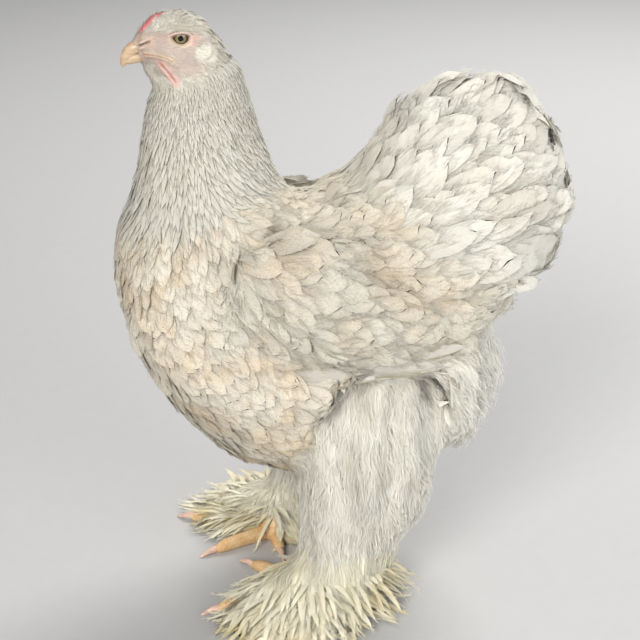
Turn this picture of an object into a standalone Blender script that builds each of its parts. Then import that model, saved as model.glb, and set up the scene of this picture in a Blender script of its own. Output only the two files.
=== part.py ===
"""A brahma hen standing alert, life size, as closed solids out to the tips of its coat.

Metres, +Z up, the floor at z = 0. The hen faces -X and its left side is at -Y. The origin is on the
floor under the middle of its bounding box.
"""

import math

import bmesh
import bpy
from mathutils import Matrix, Vector

GAP = 0.0003            # clearance between pieces that touch
POCKET = 2.0            # how much wider than its piece a pocket in the flank opens outwards
RING_SIDES = 20         # sides of a lofted section
THIGH_SIDES = 16
SPAN_STEPS = 2          # rings made between two named sections
WHOLE_VOXEL = 0.0043    # grain that the body's lofts are fused at
WHOLE_KEEP = 0.0194     # share of the fused body's faces that is kept
WHOLE_ROUNDS = 9        # rounds of softening where its lofts meet

# Sections of the body: x, z, half depth along the section, half width, how much narrower its upper side is.
HEAD_SECTIONS = [
    (-0.1670, 0.4830, 0.0090, 0.0085, 0.0),
    (-0.1610, 0.4850, 0.0185, 0.0120, 0.10),
    (-0.1500, 0.4850, 0.0262, 0.0165, 0.12),
    (-0.1360, 0.4855, 0.0275, 0.0200, 0.12),
    (-0.1210, 0.4835, 0.0280, 0.0215, 0.12),
    (-0.1070, 0.4775, 0.0240, 0.0205, 0.10),
    (-0.0970, 0.4700, 0.0140, 0.0140, 0.0),
]
NECK_SECTIONS = [
    (-0.1205, 0.489, 0.0170, 0.0140, 0.0),
    (-0.1170, 0.471, 0.0310, 0.0225, 0.0),
    (-0.1165, 0.452, 0.0385, 0.0275, 0.0),
    (-0.1175, 0.428, 0.0455, 0.0340, 0.0),
    (-0.1165, 0.403, 0.0505, 0.0430, 0.0),
    (-0.1145, 0.378, 0.0585, 0.0550, 0.0),
    (-0.1120, 0.350, 0.0700, 0.0690, 0.0),
    (-0.1070, 0.322, 0.0740, 0.0720, 0.0),
    (-0.1020, 0.300, 0.0640, 0.0640, 0.0),
]
TRUNK_SECTIONS = [
    (-0.1930, 0.3010, 0.0140, 0.0130, 0.0),
    (-0.1880, 0.2990, 0.0420, 0.0380, 0.0),
    (-0.1760, 0.2870, 0.0700, 0.0620, 0.05),
    (-0.1550, 0.2740, 0.0930, 0.0790, 0.08),
    (-0.1300, 0.2610, 0.1110, 0.0880, 0.10),
    (-0.1000, 0.2490, 0.1240, 0.0930, 0.12),
    (-0.0700, 0.2380, 0.1270, 0.0960, 0.14),
    (-0.0300, 0.2310, 0.1260, 0.0980, 0.16),
    (0.0100, 0.2290, 0.1250, 0.0990, 0.16),
    (0.0500, 0.2270, 0.1190, 0.0970, 0.12),
    (0.0850, 0.2220, 0.0980, 0.0900, 0.06),
    (0.1120, 0.2160, 0.0680, 0.0740, 0.0),
    (0.1260, 0.2120, 0.0300, 0.0400, 0.0),
]
TAIL_SECTIONS = [
    (-0.020, 0.3230, 0.0340, 0.050, 0.10),
    (0.000, 0.3200, 0.0510, 0.068, 0.15),
    (0.020, 0.3215, 0.0670, 0.078, 0.20),
    (0.040, 0.3315, 0.0840, 0.084, 0.28),
    (0.060, 0.3375, 0.0990, 0.086, 0.34),
    (0.085, 0.3400, 0.1085, 0.084, 0.40),
    (0.110, 0.3420, 0.1105, 0.078, 0.44),
    (0.130, 0.3435, 0.1065, 0.072, 0.46),
    (0.150, 0.3465, 0.0920, 0.063, 0.44),
    (0.165, 0.3460, 0.0755, 0.054, 0.40),
    (0.180, 0.3420, 0.0530, 0.042, 0.32),
    (0.190, 0.3400, 0.0280, 0.028, 0.20),
    (0.195, 0.3400, 0.0110, 0.011, 0.0),
]
FLUFF_SECTIONS = [
    (0.076, 0.245, 0.046, 0.070, 0.0),
    (0.077, 0.205, 0.062, 0.088, 0.0),
    (0.073, 0.175, 0.061, 0.089, 0.0),
    (0.063, 0.149, 0.049, 0.078, 0.0),
    (0.051, 0.131, 0.033, 0.056, 0.0),
    (0.046, 0.122, 0.014, 0.026, 0.0),
]

# The left wing, folded: x, z, half height, half thickness. It hugs the flank at WING_SEAT from the mid plane.
WING_SECTIONS = [
    (-0.1130, 0.297, 0.0170, 0.0050),
    (-0.1040, 0.296, 0.0400, 0.0120),
    (-0.0770, 0.290, 0.0600, 0.0180),
    (-0.0360, 0.283, 0.0640, 0.0210),
    (0.0040, 0.275, 0.0600, 0.0210),
    (0.0370, 0.264, 0.0505, 0.0180),
    (0.0620, 0.250, 0.0360, 0.0125),
    (0.0810, 0.238, 0.0210, 0.0075),
    (0.0910, 0.231, 0.0080, 0.0030),
]
WING_SEAT = 0.0930
WING_CLOSE_FRONT = 0.010  # how far the shoulder swings in towards the breast
WING_CLOSE_REAR = 0.018   # how far the tip swings in towards the tail
WING_TUCK = 0.22          # how much the plate leans in at its upper and lower edge
WING_SIDES = 14

# The left leg's feathering, from the flank down: x, y, z, half length, half width.
THIGH_SECTIONS = [
    (0.019, -0.038, 0.234, 0.014, 0.009),
    (0.019, -0.041, 0.230, 0.032, 0.022),
    (0.018, -0.046, 0.217, 0.050, 0.035),
    (0.015, -0.054, 0.180, 0.062, 0.045),
    (0.012, -0.060, 0.135, 0.063, 0.048),
    (0.008, -0.062, 0.105, 0.060, 0.046),
    (0.004, -0.062, 0.080, 0.055, 0.042),
    (-0.002, -0.062, 0.062, 0.049, 0.038),
    (-0.008, -0.062, 0.050, 0.043, 0.035),
]
BOOT_SECTIONS = [
    (-0.002, -0.062, 0.075, 0.047, 0.037),
    (-0.004, -0.062, 0.058, 0.046, 0.036),
    (-0.008, -0.062, 0.044, 0.045, 0.035),
    (-0.016, -0.064, 0.028, 0.045, 0.037),
    (-0.024, -0.067, 0.012, 0.044, 0.041),
    (-0.025, -0.069, -0.010, 0.045, 0.044),
]
HOCK_HEIGHT = 0.060
SHANK_TOP = (-0.012, -0.056, 0.066)
SHANK_RADIUS = 0.0085

# Each foot: where its pad stands, how far it turns out, and the angle of its inner toe from the middle one.
FEET = {"left": ((-0.043, -0.054), 11.0, 60.0), "right": ((-0.055, 0.043), 31.0, 50.0)}
PAD_RADIUS = 0.0125
PAD_HEIGHT = 0.0150
PAD_PROFILE = [(-0.003, 0.90), (0.006, 1.00), (PAD_HEIGHT, 0.90)]  # height, and share of its radius
SHANK_PROFILE = [(0.25, 1.00), (0.60, 0.95), (1.00, 1.10)]         # share of the way up, and of its radius
SHANK_FLAT = 0.90
# Each toe: its angle from the middle toe towards the inner side, its length, and its root's radius. The inner
# toe's angle is each foot's own.
TOES = {
    "middle": (0.0, 0.083, 0.0088),
    "inner": (50.0, 0.062, 0.0080),
    "outer": (-40.0, 0.062, 0.0078),
    "hind": (122.0, 0.034, 0.0066),
}
TOE_SIDES = 10
TOE_JOINTS = 3
TOE_START = 0.55        # where a toe begins inside the pad, as a share of the pad's radius
TOE_TAPER = 0.36        # how much thinner it is at its end
TOE_SWELL = 0.09        # how much it swells at a joint
TOE_PHASE = 0.08        # how far along its length the first swelling is
TOE_TIP = 0.62          # the last ring, which rounds it off
TOE_SOLE = 0.80         # how high its axis runs, in radii, so that it stands on a flat sole
CLAW_SIDES = 8
CLAW_LENGTH = 0.0150
CLAW_GAP = 0.0012
CLAW_RADIUS = 0.0036
CLAW_TIP = 0.0006
CLAW_CURVE = 0.75       # how late it tapers, less being blunter
CLAW_SOLE = 0.85
SHANK_SIDES = 12
FAN_OUT = 0.074         # foot feathers, from the middle toe outwards
FAN_IN = 0.022          # and inwards
FAN_FRONT = 0.078       # and to the front and back
FAN_AHEAD = -12.0       # the way they point, in degrees from the middle toe, outwards
FAN_FORWARD = 0.012
FAN_OUTWARD = {"left": 0.002, "right": 0.0105}
FAN_TOP_OUTWARD = 0.004
FAN_LOBES = 11
FAN_SCALLOP = 0.05
# Its sections from below the floor up: height, and share of the full spread.
FAN_PROFILE = [
    (-0.010, 1.00), (0.0, 1.00), (0.004, 0.985), (0.010, 0.90), (0.018, 0.76), (0.027, 0.60), (0.036, 0.42),
    (0.043, 0.22)]
BOOT_VOXEL = 0.0028
BOOT_KEEP = 0.0108
BOOT_ROUNDS = 2

# The face. Beak rows: x, z of the middle, half height, half width.
EYE_AT = (-0.1320, 0.0128, 0.4920)
EYE_RADIUS = 0.0070
EYE_SIDES = 12
FLAP_SIDES = 8
UPPER_BEAK = [
    (-0.1460, 0.4848, 0.0050, 0.0096),
    (-0.1540, 0.4862, 0.0055, 0.0092),
    (-0.1620, 0.4860, 0.0056, 0.0082),
    (-0.1690, 0.4838, 0.0060, 0.0064),
    (-0.1740, 0.4792, 0.0060, 0.0042),
    (-0.1766, 0.4745, 0.0046, 0.0025),
    (-0.1772, 0.4706, 0.0020, 0.0012),
]
LOWER_BEAK = [
    (-0.1460, 0.4762, 0.0043, 0.0086),
    (-0.1540, 0.4768, 0.0047, 0.0082),
    (-0.1620, 0.4760, 0.0050, 0.0071),
    (-0.1690, 0.4740, 0.0040, 0.0050),
    (-0.1732, 0.4722, 0.0018, 0.0025),
]
BEAK_FLAT = 0.20        # how far the meeting sides of the beak's halves are flattened
BEAK_CORNER = 0.30      # how sharp their long edges are, less being sharper
BEAK_NARROW = 0.22      # how much narrower the ridge is than the base
BEAK_SIDES = 12
COMB_RIDGE = [
    (-0.1612, 0.5010), (-0.1578, 0.5047), (-0.1540, 0.5073), (-0.1502, 0.5091), (-0.1466, 0.5102)]
COMB_ROWS = {-0.0031: 0.0021, 0.0: 0.0027, 0.0031: 0.0021}  # how far aside each row of knobs is, and its size
COMB_CREST = 1.15       # the middle knob of a row, in sizes
COMB_FALL = 0.12        # how much each knob further out is smaller, and how much the outer rows hang
COMB_VOXEL = 0.0007
COMB_KEEP = 0.04
LOBE_AT, LOBE_SIZE, LOBE_TILT = (-0.1130, 0.0190, 0.4800), (0.0064, 0.0032, 0.0088), 18.0
WATTLE_AT, WATTLE_SIZE, WATTLE_TILT = (-0.1400, 0.0142, 0.4690), (0.0034, 0.0030, 0.0096), 38.0

SIDES = {"left": -1, "right": 1}

# Planes that part the body, each a point and its outward side.
BEHIND_NECK = ((-0.030, 0.0, 0.400), (1.0, 0.0, 0.0))
THROAT = ((-0.117, 0.0, 0.4610), (-0.28, 0.0, 1.0))
NECK_FOOT = ((-0.050, 0.0, 0.383), (-0.26, 0.0, 1.0))
BREAST_BACK = ((-0.062, 0.0, 0.250), (1.0, 0.0, 0.35))
TAIL_ROOT = ((0.062, 0.0, 0.318), (0.60, 0.0, 0.80))
VENT_TOP = ((0.085, 0.0, 0.200), (0.62, 0.0, -0.78))

PLUMAGE = (0.80, 0.76, 0.68, 1.0)
HACKLE = (0.62, 0.60, 0.55, 1.0)
DOWN = (0.86, 0.83, 0.77, 1.0)
SKIN_YELLOW = (0.76, 0.53, 0.24, 1.0)
HORN = (0.80, 0.62, 0.40, 1.0)
COMB_RED = (0.75, 0.16, 0.16, 1.0)
LOBE = (0.82, 0.76, 0.66, 1.0)
FACE_PINK = (0.80, 0.50, 0.45, 1.0)
EYE_OLIVE = (0.22, 0.22, 0.12, 1.0)


def material(name, colour, roughness=0.8):
    made = bpy.data.materials.get(name) or bpy.data.materials.new(name)
    made.use_nodes = True
    shader = made.node_tree.nodes["Principled BSDF"]
    shader.inputs["Base Color"].default_value = colour
    shader.inputs["Roughness"].default_value = roughness
    shader.inputs["Metallic"].default_value = 0.0
    return made


def node(name, bm, finish):
    """Turns a bmesh into a named object that is closed and faces outwards."""
    bmesh.ops.remove_doubles(bm, verts=bm.verts, dist=0.00002)
    bmesh.ops.recalc_face_normals(bm, faces=bm.faces)
    mesh = bpy.data.meshes.new(name)
    bm.to_mesh(mesh)
    bm.free()
    mesh.shade_smooth()
    obj = bpy.data.objects.new(name, mesh)
    bpy.context.scene.collection.objects.link(obj)
    if finish:
        mesh.materials.append(finish)
    return obj


def helper(name, bm):
    """A cutter or a guide, which is no piece of the hen."""
    obj = node(name, bm, None)
    obj.hide_render = True
    obj.display_type = "WIRE"
    return obj


def evaluated(obj):
    """The object's mesh with its modifiers on, in world space, as a bmesh."""
    bpy.context.view_layer.update()
    graph = bpy.context.evaluated_depsgraph_get()
    bm = bmesh.new()
    bm.from_mesh(obj.evaluated_get(graph).to_mesh())
    bm.transform(obj.matrix_world)
    return bm


def bake_modifiers(obj):
    """Replaces the mesh by its evaluated one and clears the modifiers."""
    bm = evaluated(obj)
    obj.modifiers.clear()
    bm.to_mesh(obj.data)
    bm.free()
    return obj


def cut(obj, cutter):
    """Takes the cutter, which already holds the gap, out of obj."""
    boolean = obj.modifiers.new("cut", "BOOLEAN")
    boolean.operation = "DIFFERENCE"
    boolean.solver = "EXACT"
    boolean.object = cutter
    return bake_modifiers(obj)


def grown(obj, by=GAP):
    """A helper with the shape of obj, larger by the gap."""
    bm = evaluated(obj)
    bmesh.ops.recalc_face_normals(bm, faces=bm.faces)
    bm.normal_update()
    moves = [(vertex, vertex.normal * by) for vertex in bm.verts]
    for vertex, move in moves:
        vertex.co += move
    return helper(obj.name + "_room", bm)


def smooth_between(rows, steps=SPAN_STEPS):
    """Rows of numbers with more rows between them, on a Catmull-Rom curve through each column."""
    padded = [rows[0], *rows, rows[-1]]
    found = []
    for i in range(1, len(rows)):
        a, b, c, d = (Vector(row) for row in padded[i - 1:i + 3])
        for step in range(steps):
            t = step / steps
            found.append(
                0.5 * (2 * b + (c - a) * t + (2 * a - 5 * b + 4 * c - d) * t * t
                       + (3 * b - a - 3 * c + d) * t ** 3)
            )
    return found + [Vector(rows[-1])]


def bridge(bm, rings):
    """Joins rings of vertices in order, and closes the first and the last with flat caps."""
    def edges(ring):
        inside = set(ring)
        return [e for v in ring for e in v.link_edges if e.other_vert(v) in inside]

    loops = [list(set(edges(ring))) for ring in rings]
    for first, second in zip(loops, loops[1:], strict=False):
        bmesh.ops.bridge_loops(bm, edges=first + second)
    for ring, loop in ((rings[0], loops[0]), (rings[-1], loops[-1])):
        if ring:
            bmesh.ops.edgeloop_fill(bm, edges=loop)


def section(bm, place, sides=RING_SIDES):
    """A ring: a unit circle whose every point goes where place(across, up) says."""
    ring = bmesh.ops.create_circle(bm, segments=sides, radius=1.0)["verts"]
    for vertex in ring:
        vertex.co = place(vertex.co.x, vertex.co.y)
    return ring


def body_loft(rows, upright=False):
    """A loft in the hen's mid plane, its sections upright, or square to the line through their centres."""
    rows = smooth_between(rows)
    centres = [Vector((row[0], 0.0, row[1])) for row in rows]
    bm = bmesh.new()
    rings = []
    for i, row in enumerate(rows):
        along = (centres[min(i + 1, len(rows) - 1)] - centres[max(i - 1, 0)]).normalized()
        if upright:
            along = Vector((1.0, 0.0, 0.0))
        up = along.cross(Vector((0.0, 1.0, 0.0)))
        half_depth, half_width, taper = row[2:]

        def place(across, rise, centre=centres[i], up=up, d=half_depth, w=half_width, t=taper):
            return centre + up * (rise * d) + Vector((0.0, across * w * (1.0 - t * rise), 0.0))

        rings.append(section(bm, place))
    bridge(bm, rings)
    return bm


def upright_loft(rows, sides=RING_SIDES, steps=SPAN_STEPS, outer=1.0):
    """A loft of level sections: x, y, z, half length and half width. outer widens its left side."""
    bm = bmesh.new()
    rings = []
    for x, y, z, half_length, half_width in smooth_between(rows, steps):
        def place(across, along, c=Vector((x, y, z)), u=half_length, v=half_width):
            return c + Vector((along * u, across * v * (outer if across < 0 else 1.0), 0.0))

        rings.append(section(bm, place, sides))
    bridge(bm, rings)
    return bm


def tube(points, radii, sides):
    """A tapering tube through points."""
    bm = bmesh.new()
    rings = []
    for i, point in enumerate(points):
        along = (points[min(i + 1, len(points) - 1)] - points[max(i - 1, 0)]).normalized()
        aside = along.cross(Vector((0.0, 0.0, 1.0))).normalized()
        up = aside.cross(along)

        def place(across, rise, c=point, s=aside, u=up, r=radii[i]):
            return c + s * (across * r) + u * (rise * r)

        rings.append(section(bm, place, sides))
    bridge(bm, rings)
    return bm


def slice_off(bm, at, outward):
    """Removes what lies beyond a plane, and closes the cut flat."""
    outward = Vector(outward).normalized()
    cut_geometry = bmesh.ops.bisect_plane(
        bm, geom=bm.verts[:] + bm.edges[:] + bm.faces[:], dist=1e-7,
        plane_co=Vector(at), plane_no=outward, clear_outer=True)["geom_cut"]
    edges = [g for g in cut_geometry if isinstance(g, bmesh.types.BMEdge) and g.is_boundary]
    if edges:
        bmesh.ops.triangle_fill(bm, use_beauty=True, edges=edges, normal=outward)
    return bm


def fused(name, lofts, voxel, keep, rounds):
    """One closed surface round several lofts that cross, softened where they meet."""
    whole = bmesh.new()
    for loft in lofts:
        mesh = bpy.data.meshes.new("loft")
        bmesh.ops.recalc_face_normals(loft, faces=loft.faces)
        loft.to_mesh(mesh)
        loft.free()
        whole.from_mesh(mesh)
    obj = helper(name, whole)
    remesh = obj.modifiers.new("fuse", "REMESH")
    remesh.mode = "VOXEL"
    remesh.voxel_size = voxel
    soften = obj.modifiers.new("soften", "SMOOTH")
    soften.factor = 0.5
    soften.iterations = rounds
    thin = obj.modifiers.new("thin", "DECIMATE")
    thin.ratio = keep
    return bake_modifiers(obj)


def largest_only(obj):
    """Drops the crumbs that a cut leaves beside the piece itself."""
    bm = bmesh.new()
    bm.from_mesh(obj.data)
    left, groups = set(bm.verts), []
    while left:
        group, edge = set(), [next(iter(left))]
        while edge:
            vertex = edge.pop()
            if vertex not in group:
                group.add(vertex)
                edge += [e.other_vert(vertex) for e in vertex.link_edges]
        left -= group
        groups.append(group)
    groups.sort(key=len)
    crumbs = [vertex for group in groups[:-1] for vertex in group]
    bmesh.ops.delete(bm, geom=crumbs, context="VERTS")
    bm.to_mesh(obj.data)
    bm.free()
    return obj


def parted(whole, name, planes, finish):
    """The share of the whole body inside some planes, each given as a point and its outward side."""
    bm = evaluated(whole)
    for at, outward in planes:
        inset = Vector(at) - Vector(outward).normalized() * (GAP / 2)
        slice_off(bm, inset, outward)
    return node(name, bm, finish)


def mirrored(bm):
    """The same shape on the hen's right side."""
    bmesh.ops.transform(bm, matrix=Matrix.Scale(-1.0, 4, (0.0, 1.0, 0.0)), verts=bm.verts)
    bmesh.ops.recalc_face_normals(bm, faces=bm.faces)
    return bm


def turned(bm, side):
    """A shape of the left side, as it is or on the right."""
    return bm if side == "left" else mirrored(bm)


def wing_loft(outer=1.0):
    """The left wing as a curved plate: bowed to the flank, its shoulder and tip swung inwards."""
    rows = smooth_between(WING_SECTIONS, 1)
    first, last = rows[0][0], rows[-1][0]
    bm = bmesh.new()
    rings = []
    for x, z, half_height, half_thickness in rows:
        t = (x - first) / (last - first)
        swing = WING_CLOSE_FRONT * (1 - t) ** 3 + WING_CLOSE_REAR * t ** 2.5
        seat = -(WING_SEAT - swing)

        def place(across, rise, x=x, z=z, h=half_height, w=half_thickness, seat=seat):
            lean = WING_TUCK * abs(rise) ** 2 * h
            return Vector((x, seat + lean + across * w * (outer if across < 0 else 1.0), z + rise * h))

        rings.append(section(bm, place, WING_SIDES))
    bridge(bm, rings)
    return bm


def ball(at, size, tilt, sides):
    """An eye, or a soft flap of skin: a ball stretched to size, turned by tilt degrees in side view."""
    bm = bmesh.new()
    bmesh.ops.create_uvsphere(bm, u_segments=sides, v_segments=sides * 5 // 8, radius=1.0)
    turn = Matrix.Rotation(math.radians(tilt), 4, "Y")
    placed = Matrix.Translation(at) @ turn @ Matrix.Diagonal((*size, 1.0))
    bmesh.ops.transform(bm, matrix=placed, verts=bm.verts)
    return bm


def beak_half(rows, up):
    """One half of the bill, root to tip. up is 1 for the upper half, flat below, and -1 for the other."""
    bm = bmesh.new()
    rings = []
    for x, z, half_height, half_width in smooth_between(rows, 1):
        def place(across, rise, x=x, z=z, h=half_height, w=half_width):
            outer = rise * up > 0
            narrow = 1.0 - BEAK_NARROW * abs(rise) if outer else 1.0
            if not outer:
                across = math.copysign(abs(across) ** BEAK_CORNER, across)
            return Vector((x, across * w * narrow, z + rise * h * (1.0 if outer else 1.0 - BEAK_FLAT)))

        rings.append(section(bm, place, BEAK_SIDES))
    bridge(bm, rings)
    return bm


def comb():
    """A pullet's small pea comb: three low rows of knobs on the forehead, grown together."""
    bm = bmesh.new()
    for aside, size in COMB_ROWS.items():
        for i, (x, z) in enumerate(COMB_RIDGE):
            knob = size * (COMB_CREST - COMB_FALL * abs(i - len(COMB_RIDGE) // 2))
            bump = bmesh.ops.create_icosphere(bm, subdivisions=2, radius=knob)["verts"]
            bmesh.ops.translate(bm, verts=bump, vec=(x, aside, z - COMB_FALL * abs(aside)))
    return bm


def foot_frame(side):
    """The pad's centre on the floor, and a function from an angle towards the inner side to a direction."""
    (x, y), turned_out, _ = FEET[side]
    inward = 1.0 if side == "left" else -1.0

    def direction(angle):
        heading = math.radians(angle - turned_out)
        return Vector((-math.cos(heading), inward * math.sin(heading), 0.0))

    return Vector((x, y, 0.0)), direction


def toe_and_claw(side, name):
    """A toe swelling at its joints, on a flat sole, and the claw at its end."""
    pad, direction = foot_frame(side)
    angle, length, radius = TOES[name]
    if name == "inner":
        angle = FEET[side][2]
    ahead = direction(angle)
    start = PAD_RADIUS * TOE_START
    stations = 2 * TOE_JOINTS
    points, radii = [], []
    for i in range(stations + 1):
        t = i / stations
        swell = 1.0 + TOE_SWELL * math.cos(2 * math.pi * TOE_JOINTS * (t - TOE_PHASE))
        radii.append(radius * (1.0 - TOE_TAPER * t) * swell * (TOE_TIP if i == stations else 1.0))
        rise = Vector((0.0, 0.0, radii[-1] * TOE_SOLE))
        points.append(pad + ahead * (start + t * (length - start)) + rise)
    toe = tube(points, radii, TOE_SIDES)
    claw_points, claw_radii = [], []
    for t in (0.0, 1 / 3, 2 / 3, 1.0):
        claw_radii.append(CLAW_RADIUS * (1 - t) ** CLAW_CURVE + CLAW_TIP)
        rise = Vector((0.0, 0.0, claw_radii[-1] * CLAW_SOLE))
        claw_points.append(pad + ahead * (length + CLAW_GAP + t * CLAW_LENGTH) + rise)
    return toe, tube(claw_points, claw_radii, CLAW_SIDES)


def foot_pad(side):
    """The shank with the pad under it, one piece of yellow scaled skin and bone."""
    pad, _ = foot_frame(side)
    top = Vector(SHANK_TOP)
    if side == "right":
        top.y = -top.y
    rows = []
    for height, share in PAD_PROFILE:
        rows.append((*pad[:2], height, PAD_RADIUS * share, PAD_RADIUS * share))
    for t, share in SHANK_PROFILE:
        place = pad.lerp(top, t)
        height = PAD_HEIGHT + (top.z - PAD_HEIGHT) * t
        rows.append((place.x, place.y, height, SHANK_RADIUS * share, SHANK_RADIUS * share * SHANK_FLAT))
    return upright_loft(rows, SHANK_SIDES, 1)


def foot_fan(side):
    """The feathers spread over the outer toes: a low dome, thin at its rim, that reaches below the floor."""
    pad, direction = foot_frame(side)
    forward = direction(FAN_AHEAD)
    outward = direction(FAN_AHEAD - 90.0)
    foot = pad + forward * FAN_FORWARD + outward * FAN_OUTWARD[side]
    crown = pad + outward * FAN_TOP_OUTWARD
    bm = bmesh.new()
    rings = []
    for height, spread in FAN_PROFILE:
        def place(across, along, s=spread, h=height):
            lobes = 1.0 + FAN_SCALLOP * s * math.cos(FAN_LOBES * math.atan2(across, along))
            level = foot.lerp(crown, 1.0 - s)
            reach = FAN_OUT if across > 0 else FAN_IN
            return (level + forward * (along * FAN_FRONT * s * lobes)
                    + outward * (across * reach * s * lobes) + Vector((0.0, 0.0, h)))

        rings.append(section(bm, place, 2 * RING_SIDES))
    bridge(bm, rings)
    return bm


def flipped(plane):
    return plane[0], tuple(-n for n in plane[1])


def build_face(head):
    """Bill, comb, eyes, lobes and wattles, each seated in its own hollow of the head."""
    horn = material("horn", HORN, 0.45)
    upper = node("beak_upper", beak_half(UPPER_BEAK, 1), horn)
    lower = node("beak_lower", beak_half(LOWER_BEAK, -1), horn)
    cut(lower, grown(upper))
    knobs = fused("comb_knobs", [comb()], COMB_VOXEL, COMB_KEEP, 1)
    pieces = [upper, lower, node("comb", evaluated(knobs), material("comb", COMB_RED, 0.6))]
    bpy.data.objects.remove(knobs)
    for side, y in SIDES.items():
        for name, at, size, tilt, finish in (
                ("eye_", EYE_AT, (EYE_RADIUS,) * 3, 0.0, material("eye", EYE_OLIVE, 0.1)),
                ("earlobe_", LOBE_AT, LOBE_SIZE, LOBE_TILT, material("lobe", LOBE)),
                ("wattle_", WATTLE_AT, WATTLE_SIZE, WATTLE_TILT, material("wattle", FACE_PINK, 0.6))):
            sides = EYE_SIDES if name == "eye_" else FLAP_SIDES
            pieces.append(node(name + side, ball((at[0], y * at[1], at[2]), size, tilt, sides), finish))
    for piece in pieces:
        for holder in head:
            cut(holder, grown(piece))


def build_body():
    """The fused body and its wings, parted into head, neck, breast, trunk, tail and vent fluff."""
    lofts = [
        body_loft(HEAD_SECTIONS, True), body_loft(NECK_SECTIONS), body_loft(TRUNK_SECTIONS, True),
        body_loft(TAIL_SECTIONS, True), body_loft(FLUFF_SECTIONS)]
    whole = fused("whole", lofts, WHOLE_VOXEL, WHOLE_KEEP, WHOLE_ROUNDS)
    plumage = material("plumage", PLUMAGE)
    hackle = material("hackle", HACKLE)
    down = material("down", DOWN)
    left = node("wing_left", wing_loft(), plumage)
    right = node("wing_right", mirrored(evaluated(left)), plumage)
    thighs = []
    for side in SIDES:
        loft = turned(upright_loft(THIGH_SECTIONS, THIGH_SIDES, 1), side)
        thighs.append(node("thigh_" + side, slice_off(loft, (0, 0, HOCK_HEIGHT), (0, 0, -1)), down))
    wing_room = grown(helper("wing_space", wing_loft(POCKET)))
    thigh_room = grown(helper("thigh_space", upright_loft(THIGH_SECTIONS, THIGH_SIDES, 1, POCKET)))
    for room in (wing_room, thigh_room):
        cut(whole, room)
        cut(whole, helper(room.name + "_right", mirrored(evaluated(room))))
    for wing, thigh in zip((left, right), thighs, strict=True):
        cut(thigh, grown(wing))

    head = parted(whole, "head", [BEHIND_NECK, flipped(THROAT)], hackle)
    neck = parted(whole, "neck", [BEHIND_NECK, THROAT, flipped(NECK_FOOT)], hackle)
    parted(whole, "breast", [NECK_FOOT, BREAST_BACK], plumage)
    parted(whole, "trunk", [NECK_FOOT, flipped(BREAST_BACK), TAIL_ROOT, VENT_TOP], plumage)
    parted(whole, "tail", [flipped(TAIL_ROOT), flipped(BEHIND_NECK)], plumage)
    parted(whole, "vent_fluff", [TAIL_ROOT, flipped(BREAST_BACK), flipped(VENT_TOP)], down)
    bpy.data.objects.remove(whole)
    return [head, neck], thighs


def build_legs(thighs):
    """The feet, and the boot of feathers round each, which ends flat on the floor and below the hock."""
    skin = material("scaled skin", SKIN_YELLOW, 0.6)
    horn = material("horn", HORN, 0.45)
    down = material("down", DOWN)
    for side, thigh in zip(SIDES, thighs, strict=True):
        lofts = {"shank_" + side: foot_pad(side)}
        for name in TOES:
            lofts["toe_" + name + "_" + side], lofts["claw_" + name + "_" + side] = toe_and_claw(side, name)
        rooms = [grown(helper(name + "_core", bm.copy())) for name, bm in lofts.items()]
        placed = []
        for name, bm in lofts.items():
            piece = node(name, slice_off(bm, (0, 0, 0), (0, 0, -1)), horn if "claw" in name else skin)
            if "claw" not in name:
                for earlier in placed:
                    cut(piece, grown(earlier))
                placed.append(piece)
        column = turned(upright_loft(BOOT_SECTIONS), side)
        coat = fused("coat_" + side, [column, foot_fan(side)], BOOT_VOXEL, BOOT_KEEP, BOOT_ROUNDS)
        for room in rooms:
            cut(coat, room)
            cut(thigh, room)
        bm = slice_off(evaluated(coat), (0, 0, 0), (0, 0, -1))
        largest_only(node("boot_" + side, slice_off(bm, (0, 0, HOCK_HEIGHT - GAP), (0, 0, 1)), down))
        largest_only(thigh)
        bpy.data.objects.remove(coat)


def main():
    for old in list(bpy.data.objects):
        bpy.data.objects.remove(old)
    head, thighs = build_body()
    build_face(head)
    build_legs(thighs)


main()
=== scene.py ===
"""A life-size brahma hen as photographed: one skin, and its plumage as solid feathers over it.

Metres, +Z up. The hen faces -X and its left side is at -Y, as in the frame.
"""

import math

import bmesh
import bpy
import numpy as np
from mathutils import Matrix, Vector
from mathutils.bvhtree import BVHTree


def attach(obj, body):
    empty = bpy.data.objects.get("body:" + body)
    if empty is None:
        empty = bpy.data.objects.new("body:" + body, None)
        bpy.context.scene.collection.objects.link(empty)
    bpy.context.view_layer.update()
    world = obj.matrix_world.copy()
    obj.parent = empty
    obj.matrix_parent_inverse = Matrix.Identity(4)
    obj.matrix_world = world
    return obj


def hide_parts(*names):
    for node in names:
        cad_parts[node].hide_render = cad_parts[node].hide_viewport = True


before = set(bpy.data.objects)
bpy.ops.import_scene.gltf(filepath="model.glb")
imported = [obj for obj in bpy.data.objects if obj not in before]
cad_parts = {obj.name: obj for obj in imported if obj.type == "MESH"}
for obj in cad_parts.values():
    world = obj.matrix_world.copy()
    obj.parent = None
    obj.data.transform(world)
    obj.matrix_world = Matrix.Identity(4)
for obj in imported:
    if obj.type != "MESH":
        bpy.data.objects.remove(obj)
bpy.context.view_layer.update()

MM = 0.001
SIDES = {"left": -1.0, "right": 1.0}
CLOSE = 0.25 * MM       # how much a copied node grows, so that it meets its neighbour

# The parts of the body, the feathered boots round the shanks, and the bare parts of a foot.
BODY = ["head", "neck", "breast", "trunk", "tail", "vent_fluff"]
for side in SIDES:
    BODY += ["wing_" + side, "thigh_" + side]
BOOTS = ["boot_left", "boot_right"]
LEG = ["shank", "toe_middle", "toe_inner", "toe_outer", "toe_hind"]

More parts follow.
